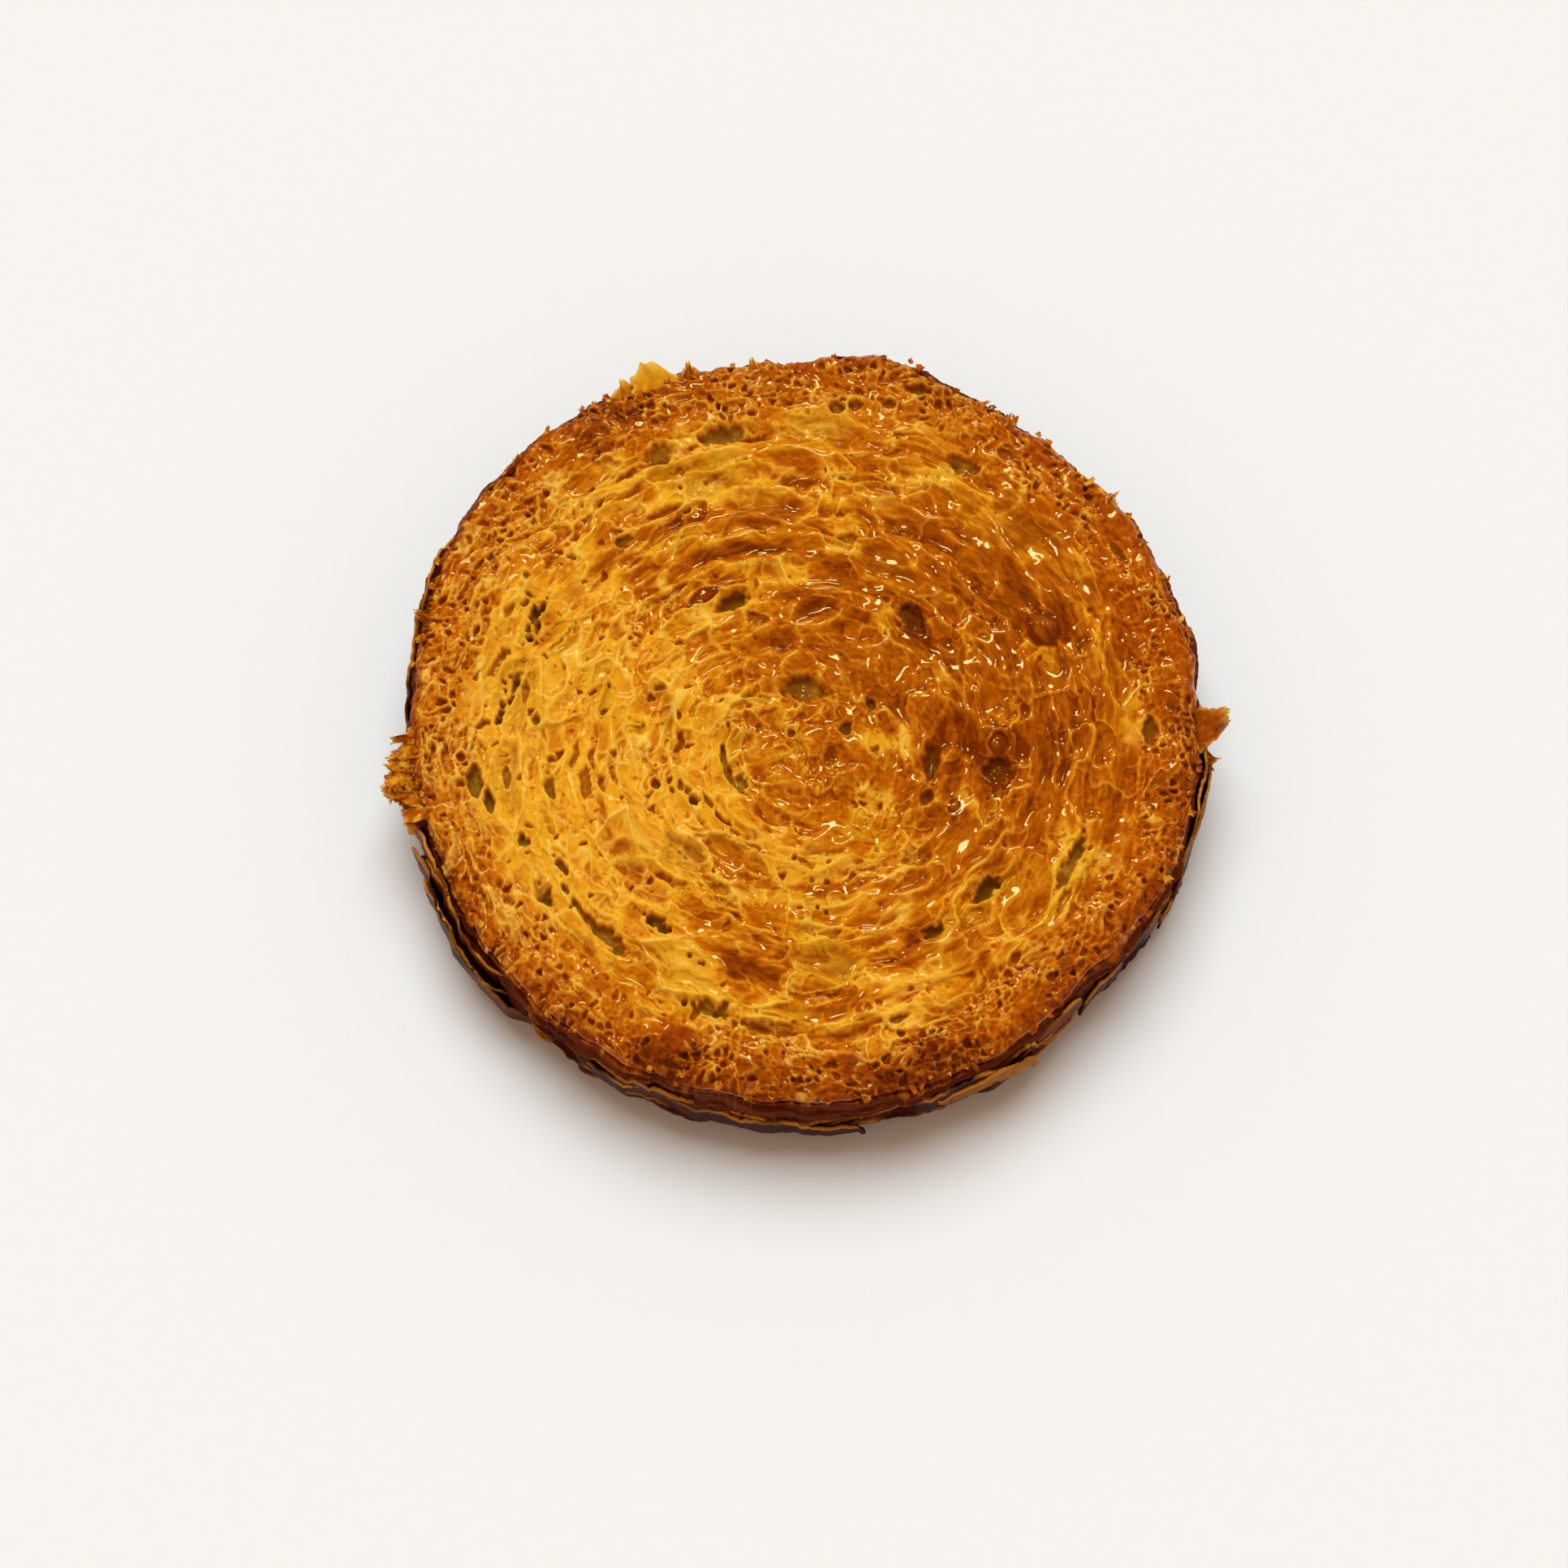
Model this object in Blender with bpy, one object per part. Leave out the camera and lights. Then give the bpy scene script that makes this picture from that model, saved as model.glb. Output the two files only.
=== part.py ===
"""A caramelized croissant disc: a slice cut across a roll of laminated dough, baked flat in sugar.

The slice lies on its cut face with the other cut face up. The dough spirals out from a roll centre that is
a little off the middle, so the layers show as spiral ridges with hollows between them. The outer 8 mm is a
dense browned rim, and the wall is a stack of thin dark skins, some of which have peeled and stand off.
Origin: middle of the underside. +Z up, -Y towards the side with the long peeled skin.
"""

import math
from functools import partial

import bmesh
import bpy
from mathutils import Vector, noise

MM = 0.001
TURN = 2 * math.pi

# The slice as a whole
RIM_RADIUS = 49.4 * MM
THICKNESS = 16.0 * MM
ROLL_CENTRE = Vector((-0.4, -4.3, 0.0)) * MM
RIM_LOBES = ((2, 0.97, -130), (3, 0.26, 35), (4, 0.40, -145))  # waves round the rim, mm, degrees

RIM_RAGGED = 1.0 * MM
RIM_TEETH = 11.0

# The upper cut face
SHEET_PITCH = 10.0 * MM  # how far the dough moves outwards in one turn of the roll
LAYER_PITCH = 5.0 * MM  # from one ridge to the next
LAYER_RELIEF = 0.9 * MM
LAYER_WANDER = 0.35  # of a layer, how far a ridge strays from the true spiral
CELL_LENGTH = 8.0 * MM
CELL_WIDTH = 2.6 * MM
CELL_RELIEF = 0.9 * MM
RIM_CRUMB_RELIEF = 1.0 * MM
RIM_CRUMB_GRAIN = 2.7 * MM
RIM_CRUMB_SHARE = 0.83  # of the radius, where the loose layers end and the dense rim starts
SHOULDER_SHARE = 0.965
SHOULDER_DROP = 1.0 * MM
RING_STEP = 1.35 * MM
RING_SEGMENTS = ((6.0 * MM, 24), (15.0 * MM, 48), (1.0, 96))  # out to this radius, so many segments

# Holes between the layers: x, y, length along the layer, width across it, depth, all in mm
HOLES = (
    (-10.2, 38.6, 7.5, 3.2, 2.6),
    (-18.2, 35.8, 5.5, 3.6, 2.0),
    (-7.8, 32.3, 8.6, 3.2, 1.2),
    (20.7, 34.0, 5.0, 3.0, 1.8),
    (14.6, 44.9, 3.6, 2.2, 1.8),
    (4.8, 42.3, 5.0, 2.2, 1.6),
    (-22.3, 23.5, 4.5, 2.4, 1.8),
    (-32.0, 19.4, 5.0, 2.6, 2.2),
    (-32.8, 13.0, 7.5, 2.8, 3.4),
    (-36.0, 3.6, 5.0, 2.4, 2.6),
    (-37.4, -0.6, 4.6, 2.2, 2.6),
    (-39.6, -10.2, 6.2, 3.4, 2.8),
    (-31.0, -9.8, 4.4, 2.6, 2.0),
    (-34.0, -17.5, 4.0, 2.6, 2.2),
    (-31.4, -24.1, 4.4, 3.0, 2.2),
    (-23.8, -29.2, 8.0, 2.6, 2.6),
    (-17.5, -27.5, 4.8, 2.6, 3.0),
    (-21.4, -19.7, 6.4, 4.2, 1.4),
    (-8.6, -7.7, 8.0, 2.2, 1.8),
    (-8.5, 15.1, 6.6, 3.8, 2.4),
    (0.2, 3.3, 7.0, 4.2, 2.2),
    (13.3, 13.1, 6.4, 3.4, 2.2),
    (15.7, -7.2, 7.0, 2.8, 2.0),
    (23.9, -8.4, 7.4, 4.6, 2.0),
    (14.2, -18.8, 4.6, 3.4, 1.6),
    (22.4, -23.3, 5.2, 2.8, 3.0),
    (15.4, -29.0, 5.6, 2.4, 2.4),
    (32.5, -20.2, 9.6, 2.6, 2.2),
    (42.6, -3.0, 5.0, 3.0, 2.0),
    (-11.4, -38.4, 7.0, 3.2, 1.8),
    (-2.6, -41.4, 11.0, 2.6, 1.4),
)
BUBBLE = (30.0, 11.0, 5.0, 4.0, -0.9)  # a drop of caramel that stands up, in the same words

# The wall
WALL_ROWS = (0.90, 0.80, 0.68, 0.56, 0.44, 0.32, 0.20, 0.09, 0.0)  # shares of the thickness, going down
WALL_BULGE = 0.5 * MM
CURL_SHARE = 0.3
CURL_UNDER = 3.2 * MM
WALL_CRUMPLE = 1.1 * MM
WALL_SKIN_HEIGHT = 2.6 * MM  # the spacing of the skins in the wall

# The underside: flat, with shallow hollows between the layers out to the last flat land
UNDER_RINGS = (43.0, 37.0, 31.0, 25.0, 19.0)  # mm
UNDER_RELIEF = 0.5 * MM

# Peeled skins: first and last angle, foot, head at each end, distance out at each end (degrees, mm).
# The last angle is the free end. The skins keep a rounder circle than the crumb, so they stand off it.
SKIN_THICKNESS = 0.7 * MM
SKIN_STEP = 5.5  # degrees from one fold line to the next
SKIN_ROOT = 1.4 * MM  # how deep a skin's fixed parts reach into the wall
SKIN_ROWS = 3
SKIN_RUFFLE = 0.5 * MM
SKIN_TORN = 1.1 * MM  # the unevenness of a torn upper edge
SKINS = (
    ("long_skin", -127, -82, 1.2, 9.5, 8.0, 50.3, 51.3),
    ("leaf_skin", -73, -55, 2.4, 7.5, 11.0, 50.4, 51.8),
    ("spur_skin", -55, -46, 7.0, 12.0, 13.8, 50.6, 51.4),
    ("lower_left_skin", -138, -166, 1.6, 10.0, 14.4, 50.4, 51.6),
    ("lower_left_fold", -143, -156, 5.0, 12.0, 14.0, 49.6, 50.3),
    ("right_skin", 6, -31, 1.6, 14.8, 6.5, 51.5, 50.9),
    ("upper_left_skin", 143, 177, 1.8, 13.6, 15.2, 50.8, 50.4),
    ("back_skin", 128, 88, 1.8, 12.6, 9.5, 50.8, 51.0),
    ("back_right_skin", 34, 76, 1.6, 11.0, 13.2, 50.2, 50.9),
)

# The ragged tuft of torn crumb at the left: angle, distance out, height, size (degrees, mm)
TUFT_CLUMPS = (
    (182.5, 48.8, 12.2, 4.2),
    (185.5, 50.4, 12.8, 3.6),
    (188.5, 48.6, 13.0, 4.6),
    (190.5, 51.2, 11.6, 3.8),
    (193.5, 50.2, 11.2, 4.2),
    (196.0, 48.0, 12.4, 3.8),
)
TUFT_ROUGHNESS = 0.7

# Torn leaves that stick out of the rim: angle, root, reach, foot, head, width (degrees, mm)
LEAVES = (
    ("right_leaf", 1.0, 48.0, 53.0, 12.0, 15.4, 5.6),
    ("top_left_leaf", 114.0, 47.5, 52.0, 13.2, 15.6, 4.6),
    ("left_leaf", 191.5, 47.0, 53.2, 11.8, 11.0, 3.4),
    ("top_tooth", 97.0, 48.0, 51.2, 14.0, 15.8, 3.0),
    ("upper_right_tooth", 36.0, 46.5, 49.9, 13.6, 15.6, 2.8),
)
LEAF_THICKNESS = 0.7 * MM
LEAF_TAPER = 0.6
LEAF_HOLLOW = 0.6  # mm, how far a leaf's middle stands over its sides


def smooth_step(low, high, value):
    share = min(max((value - low) / (high - low), 0.0), 1.0)
    return share * share * (3 - 2 * share)


def rim_radius(angle):
    """The crumb's edge: a circle with a few broad lobes and a ragged line."""
    radius = RIM_RADIUS
    for waves, height, place in RIM_LOBES:
        radius += height * MM * math.cos(waves * angle - math.radians(place))
    ragged = noise.noise(Vector((math.cos(angle), math.sin(angle), 0.3)) * RIM_TEETH)
    return radius + RIM_RAGGED * ragged


def layer_height(spread, angle, place):
    """Spiral ridges, one each LAYER_PITCH, that wander a little from the true spiral."""
    wander = LAYER_WANDER * noise.noise(place / (14 * MM))
    layers = (spread - SHEET_PITCH * angle / TURN) / LAYER_PITCH + wander
    return LAYER_RELIEF * (0.5 * math.cos(TURN * layers) - 0.5)


def cell_height(spread, place):
    """Hollow cells, long along the layers and narrow across them."""
    cell = Vector((place.x / CELL_LENGTH, place.y / CELL_LENGTH, spread / CELL_WIDTH))
    return CELL_RELIEF * noise.noise(cell)


def rim_crumb_height(place):
    return RIM_CRUMB_RELIEF * noise.noise(place / RIM_CRUMB_GRAIN)


def hole_depth(place):
    """The deepest of the holes at a place on the upper face."""
    deepest = 0.0
    for x, y, length, width, depth in HOLES + (BUBBLE,):
        middle = Vector((x * MM, y * MM, 0.0))
        out = (middle - ROLL_CENTRE).normalized()
        offset = place - middle
        across = offset.dot(out) / (0.5 * width * MM)
        along = (offset.x * -out.y + offset.y * out.x) / (0.5 * length * MM)
        share = 1 - smooth_step(0.3, 1.5, math.hypot(across, along))
        if abs(depth * MM * share) > abs(deepest):
            deepest = depth * MM * share
    return deepest


def top_point(share, angle):
    """A point of the upper face, at a share of the way from the roll centre to the rim."""
    spread = share * RIM_RADIUS
    middle = ROLL_CENTRE * (1 - share)
    out = Vector((math.cos(angle), math.sin(angle), 0.0))
    place = middle + out * share * rim_radius(angle)
    in_rim = smooth_step(RIM_CRUMB_SHARE - 0.06, RIM_CRUMB_SHARE + 0.06, share)
    height = THICKNESS
    height += (1 - in_rim) * layer_height(spread, angle, place)
    height += (1 - 0.6 * in_rim) * cell_height(spread, place)
    height += in_rim * rim_crumb_height(place)
    height -= hole_depth(place)
    height -= SHOULDER_DROP * smooth_step(SHOULDER_SHARE, 1.0, share)
    return place + Vector((0, 0, height))


def wall_offset(share):
    """How far the wall stands outside the rim at a share of its height."""
    curl = max(0.0, 1 - share / CURL_SHARE)
    return WALL_BULGE * math.sin(math.pi * share ** 0.85) - CURL_UNDER * curl ** 2


def wall_radius(angle, share):
    return rim_radius(angle) + wall_offset(share)


def wall_point(share, angle):
    """A point of the wall, which steps in and out where one skin ends and the next starts."""
    out = Vector((math.cos(angle), math.sin(angle), 0.0))
    skin = share * THICKNESS / WALL_SKIN_HEIGHT
    crumple = noise.noise(out * 5 + Vector((0, 0, skin * 1.3)))
    crumple *= WALL_CRUMPLE * smooth_step(0.0, CURL_SHARE, share)
    return out * (wall_radius(angle, share) + crumple) + Vector((0, 0, share * THICKNESS))


def under_point(radius, angle):
    """A point of the underside: hollows between flat lands at the height of the base."""
    place = Vector((radius * math.cos(angle), radius * math.sin(angle), 0.0))
    if radius * (1 + 1e-6) < UNDER_RINGS[-2] * MM:
        return place
    hollow = noise.noise(Vector((place.x, place.y, 2 * radius)) / (9 * MM))
    return place + Vector((0, 0, UNDER_RELIEF * max(0.0, hollow + 0.1)))


def new_object(name, bm, material):
    bmesh.ops.recalc_face_normals(bm, faces=bm.faces)
    mesh = bpy.data.meshes.new(name)
    bm.to_mesh(mesh)
    bm.free()
    mesh.materials.append(material)
    made = bpy.data.objects.new(name, mesh)
    bpy.context.scene.collection.objects.link(made)
    return made


def ring_places():
    """The rings in order, over the upper face, down the wall and in under the slice.

    Each is its number of segments and the function that says where a point at an angle goes.
    """
    steps = round(RIM_RADIUS / RING_STEP)
    for i in range(1, steps + 1):
        share = i / steps
        segments = next(count for limit, count in RING_SEGMENTS if share * RIM_RADIUS <= limit)
        yield segments, partial(top_point, share)
    for share in WALL_ROWS:
        yield RING_SEGMENTS[-1][1], partial(wall_point, share)
    for radius in UNDER_RINGS:
        yield RING_SEGMENTS[-1][1], partial(under_point, radius * MM)


def open_edges(bm):
    return [edge for edge in bm.edges if edge.is_boundary]


def disc_body(material):
    """The slice without its peeled skins, grown ring by ring from the roll centre and then put in shape."""
    places = list(ring_places())
    bm = bmesh.new()
    ring_number = bm.verts.layers.int.new("ring_number")
    bmesh.ops.create_circle(bm, cap_ends=True, cap_tris=True, segments=places[0][0], radius=1.0)
    for i, (segments, _) in enumerate(places):
        if i > 0:
            bmesh.ops.extrude_edge_only(bm, edges=open_edges(bm))
        if i + 1 < len(places) and places[i + 1][0] > segments:
            bmesh.ops.subdivide_edges(bm, edges=open_edges(bm), cuts=1)
        for edge in open_edges(bm):
            for vert in edge.verts:
                vert[ring_number] = i + 1
    bmesh.ops.contextual_create(bm, geom=open_edges(bm))
    for vert in bm.verts:
        if vert[ring_number] == 0:
            vert.co = top_point(0.0, 0.0)
        else:
            vert.co = places[vert[ring_number] - 1][1](math.atan2(vert.co.y, vert.co.x))
    return new_object("croissant_disc", bm, material)


def peeled_skin(name, first, last, foot, head_first, head_last, out_first, out_last, material):
    """A thin bent strip, rooted in the wall at its foot and its first end, that stands off elsewhere."""
    bm = bmesh.new()
    columns = max(3, round(abs(last - first) / SKIN_STEP))
    bmesh.ops.create_grid(bm, x_segments=columns, y_segments=SKIN_ROWS, size=0.5)
    for vert in bm.verts:
        along = vert.co.x + 0.5
        up = vert.co.y + 0.5
        angle = math.radians(first + (last - first) * along)
        uneven = noise.noise(Vector((first * 0.37, along * 6, up * 2)))
        head = head_first + (head_last - head_first) * along
        height = (foot + (head - foot) * up) * MM + SKIN_TORN * uneven * up
        stands = (out_first + (out_last - out_first) * along) * MM + SKIN_RUFFLE * uneven
        rooted = wall_radius(angle, min(height / THICKNESS, 1.0)) - SKIN_ROOT
        free = smooth_step(0.0, 0.7, up) * smooth_step(0.0, 0.25, along)
        radius = rooted + (stands - rooted) * free
        vert.co = Vector((radius * math.cos(angle), radius * math.sin(angle), height))
    bmesh.ops.recalc_face_normals(bm, faces=bm.faces)
    bmesh.ops.solidify(bm, geom=bm.faces[:] + bm.edges[:] + bm.verts[:], thickness=SKIN_THICKNESS)
    bmesh.ops.triangulate(bm, faces=bm.faces)
    return new_object(name, bm, material)


def tuft_clump(index, angle, reach, height, size, material):
    """A small lump of torn crumb."""
    bm = bmesh.new()
    bmesh.ops.create_icosphere(bm, subdivisions=2, radius=0.5 * size * MM)
    turn = math.radians(angle)
    middle = Vector((reach * math.cos(turn), reach * math.sin(turn), height)) * MM
    for vert in bm.verts:
        rough = noise.noise(vert.co / (0.3 * size * MM) + Vector((index * 7.0, 0, 0)))
        vert.co = middle + vert.co * (1 + TUFT_ROUGHNESS * rough)
    return new_object(f"tuft_clump_{index}", bm, material)


def torn_leaf(name, angle, root, reach, foot, head, width, material):
    """A small thin leaf that leaves the rim, rises and ends in a narrow tip."""
    bm = bmesh.new()
    bmesh.ops.create_grid(bm, x_segments=5, y_segments=3, size=0.5)
    turn = math.radians(angle)
    out = Vector((math.cos(turn), math.sin(turn), 0.0))
    side = Vector((-out.y, out.x, 0.0))
    for vert in bm.verts:
        along = vert.co.x + 0.5
        narrow = 1 - LEAF_TAPER * along ** 2
        across = vert.co.y * width * narrow
        rise = foot + (head - foot) * along + LEAF_HOLLOW * math.cos(TURN * vert.co.y) * along
        vert.co = (out * (root + (reach - root) * along) + side * across + Vector((0, 0, rise))) * MM
    bmesh.ops.recalc_face_normals(bm, faces=bm.faces)
    bmesh.ops.solidify(bm, geom=bm.faces[:] + bm.edges[:] + bm.verts[:], thickness=LEAF_THICKNESS)
    bmesh.ops.triangulate(bm, faces=bm.faces)
    return new_object(name, bm, material)


def baked_crumb_material():
    """Golden crumb under a thin coat of set caramel."""
    material = bpy.data.materials.new("caramelized_crumb")
    material.use_nodes = True
    shader = material.node_tree.nodes["Principled BSDF"]
    shader.inputs["Base Color"].default_value = (0.58, 0.25, 0.035, 1.0)
    shader.inputs["Roughness"].default_value = 0.42
    shader.inputs["Metallic"].default_value = 0.0
    return material


def fuse(body, pieces):
    """One Boolean union joins the skins, clumps and leaves to the slice, and they are then removed."""
    group = bpy.data.collections.new("peeled_pieces")
    bpy.context.scene.collection.children.link(group)
    for piece in pieces:
        bpy.context.scene.collection.objects.unlink(piece)
        group.objects.link(piece)
    union = body.modifiers.new("join", "BOOLEAN")
    union.operation = "UNION"
    union.solver = "MANIFOLD"
    union.operand_type = "COLLECTION"
    union.collection = group
    evaluated = body.evaluated_get(bpy.context.evaluated_depsgraph_get())
    joined = bpy.data.meshes.new_from_object(evaluated)
    body.modifiers.clear()
    body.data = joined
    for piece in pieces:
        bpy.data.objects.remove(piece)
    bpy.data.collections.remove(group)


def drop_scraps(body):
    """Keeps the slice alone, without any crumb that touches nothing."""
    bm = bmesh.new()
    bm.from_mesh(body.data)
    left = set(bm.verts)
    largest = set()
    while left:
        reached = {left.pop()}
        edge_of_search = list(reached)
        while edge_of_search:
            vert = edge_of_search.pop()
            for edge in vert.link_edges:
                other = edge.other_vert(vert)
                if other in left:
                    left.remove(other)
                    reached.add(other)
                    edge_of_search.append(other)
        if len(reached) > len(largest):
            largest = reached
    scraps = [vert for vert in bm.verts if vert not in largest]
    bmesh.ops.delete(bm, geom=scraps, context="VERTS")
    bm.to_mesh(body.data)
    bm.free()


def croissant_disc():
    crumb = baked_crumb_material()
    body = disc_body(crumb)
    pieces = [peeled_skin(*skin, crumb) for skin in SKINS]
    pieces += [tuft_clump(i, *clump, crumb) for i, clump in enumerate(TUFT_CLUMPS)]
    pieces += [torn_leaf(*leaf, crumb) for leaf in LEAVES]
    fuse(body, pieces)
    drop_scraps(body)
    body.data.shade_smooth()
    body.data.set_sharp_from_angle(angle=math.radians(50))
    return body


for old in list(bpy.data.objects):
    bpy.data.objects.remove(old)
croissant_disc()
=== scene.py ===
"""A caramelized croissant disc: its crumb, wall, peeled skins and set caramel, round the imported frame.

Lengths are in millimetres until a mesh is placed. +Z is up, and -Y is the side with the long peeled skin.
"""
import math
import random

import bmesh
import bpy
import numpy as np
from mathutils import Matrix, Vector, noise


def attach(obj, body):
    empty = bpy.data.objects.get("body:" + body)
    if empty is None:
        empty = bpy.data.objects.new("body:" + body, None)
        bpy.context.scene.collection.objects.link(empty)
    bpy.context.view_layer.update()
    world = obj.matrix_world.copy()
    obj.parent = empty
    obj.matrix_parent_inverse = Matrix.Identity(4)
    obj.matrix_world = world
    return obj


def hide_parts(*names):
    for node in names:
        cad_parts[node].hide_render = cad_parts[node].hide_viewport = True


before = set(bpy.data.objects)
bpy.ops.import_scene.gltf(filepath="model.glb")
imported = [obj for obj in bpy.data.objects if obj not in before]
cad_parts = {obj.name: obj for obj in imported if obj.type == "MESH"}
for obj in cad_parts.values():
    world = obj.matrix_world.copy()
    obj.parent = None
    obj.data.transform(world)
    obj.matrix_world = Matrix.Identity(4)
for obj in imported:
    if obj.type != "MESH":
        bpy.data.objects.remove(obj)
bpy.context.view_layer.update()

# ---------------------------------------------------------------------------------------------------------
# The cut face of the roll. The dough is one sheet, rolled up and sliced, so its layers run outwards as a
# spiral, 10 mm a turn. Steam has blown the layers apart into long cells with thin walls, the baker's sugar
# has melted into them from above, and the last 8 mm under the crust are dense, fine-pored and browned.

MM = 0.001
TURN = 2 * math.pi
SEED = 11
ROLL_CENTRE = (-0.4, -4.3)
RIM_RADIUS = 49.4
# Waves round the rim, how high and where (mm, degrees), then single swells: place, reach and how far
RIM_LOBES = ((2, 0.97, -130), (3, 0.26, 35), (4, 0.40, -145))
RIM_SWELLS = ((78, 9, 1.8), (25, 13, 1.0), (10, 5, 0.7), (-44, 13, -2.0))
RIM_RAGGED = 1.0
RIM_TEETH = 11.0
THICKNESS = 16.0
SHEET_PITCH = 10.0
RISE = SHEET_PITCH / TURN  # how far a layer moves outwards in one radian
RIM_SHARE = (0.80, 0.90)  # of the radius, where the open cells end and the dense rim starts
SHOULDER_SHARE = 0.955
SHOULDER_DROP = 0.9

# Holes between the layers: x, y, length along the layer, width across it, depth, ragged edge (0 to 1)
HOLES = (
    (-10.2, 38.6, 7.0, 2.9, 2.8, 0.3),
    (-18.2, 35.6, 5.6, 3.4, 2.2, 0.3),
    (-7.8, 32.6, 8.6, 3.6, 1.0, 0.3),
    (-0.5, 32.0, 6.0, 3.4, 0.9, 0.3),
    (-30.1, 28.8, 1.8, 1.2, 1.4, 0.3),
    (20.7, 34.0, 5.0, 2.6, 2.0, 0.3),
    (25.6, 35.7, 3.0, 1.4, 1.4, 0.3),
    (4.4, 42.3, 1.9, 1.7, 2.0, 0.2),
    (6.8, 42.6, 1.8, 1.7, 1.6, 0.2),
    (11.2, 42.6, 2.0, 1.7, 1.6, 0.2),
    (14.6, 44.9, 3.2, 1.9, 1.8, 0.4),
    (-22.3, 23.5, 3.4, 1.8, 2.4, 0.6),
    (-31.6, 20.2, 3.6, 2.6, 1.4, 0.7),
    (-32.8, 13.4, 6.6, 1.6, 4.0, 1.0),
    (-33.9, 9.9, 1.6, 1.4, 2.8, 0.2),
    (-35.6, 3.9, 3.8, 1.5, 3.6, 1.0),
    (-37.4, -0.4, 4.2, 1.1, 3.4, 0.9),
    (-32.9, -1.1, 2.1, 1.4, 2.4, 0.1),
    (-40.5, 10.8, 2.2, 1.0, 1.6, 0.3),
    (-37.2, 7.8, 2.0, 0.8, 1.6, 0.3),
    (-40.2, -9.6, 5.0, 2.0, 3.6, 0.3),
    (-38.4, -11.9, 3.2, 1.5, 3.0, 0.4),
    (-36.3, -8.5, 2.8, 1.0, 2.2, 0.3),
    (-31.0, -9.8, 4.2, 2.0, 2.4, 0.3),
    (-34.0, -17.5, 2.8, 1.5, 2.8, 0.9),
    (-29.5, -20.2, 2.8, 1.3, 2.4, 0.9),
    (-31.4, -24.1, 3.6, 2.6, 2.6, 0.4),
    (-27.5, -25.4, 5.2, 1.2, 2.4, 0.9),
    (-23.5, -29.5, 7.0, 2.3, 2.6, 0.5),
    (-17.5, -27.5, 4.4, 1.6, 4.0, 1.0),
    (-18.0, -9.5, 1.8, 1.3, 2.2, 0.2),
    (-13.4, -11.9, 1.6, 1.2, 2.2, 0.2),
    (-9.4, -7.4, 9.0, 0.8, 2.4, 0.8),
    (-7.4, -9.3, 2.5, 1.8, 2.2, 0.3),
    (-21.4, -19.7, 5.8, 3.9, 1.0, 0.1),
    (-13.3, -18.4, 3.2, 2.6, 1.2, 0.1),
    (-8.5, 15.1, 5.8, 3.2, 2.8, 0.2),
    (0.2, 3.3, 6.3, 3.8, 2.2, 0.2),
    (-5.4, -2.1, 1.9, 1.1, 1.6, 0.2),
    (-1.4, -3.0, 1.3, 1.2, 1.8, 0.2),
    (5.1, -2.3, 2.0, 1.7, 2.2, 0.2),
    (3.6, -6.2, 2.9, 2.1, 1.6, 0.2),
    (8.4, 1.0, 2.2, 1.2, 2.0, 0.2),
    (13.3, 13.1, 6.0, 2.8, 2.0, 0.4),
    (15.7, -6.8, 6.0, 2.3, 2.2, 0.2),
    (15.2, -11.4, 2.5, 1.9, 1.8, 0.1),
    (23.9, -8.0, 6.4, 3.4, 2.4, 0.4),
    (14.2, -18.8, 4.2, 3.2, 1.2, 0.1),
    (22.4, -23.3, 4.8, 1.9, 4.0, 1.0),
    (15.4, -29.2, 4.6, 1.6, 2.8, 0.8),
    (32.5, -20.2, 9.8, 2.0, 2.4, 0.5),
    (42.6, -3.0, 4.8, 2.4, 2.6, 0.6),
    (39.6, 21.9, 4.0, 1.2, 1.6, 0.4),
    (-11.4, -38.4, 5.6, 2.4, 2.4, 0.7),
    (-3.8, -41.0, 9.6, 2.2, 1.5, 0.7),
    (11.5, -39.8, 2.6, 1.3, 1.8, 0.4),
)
HOLE_EDGE = (0.45, 1.12)  # of a hole's half width, from its floor to its lip
HOLE_DEPTH = 0.72

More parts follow.
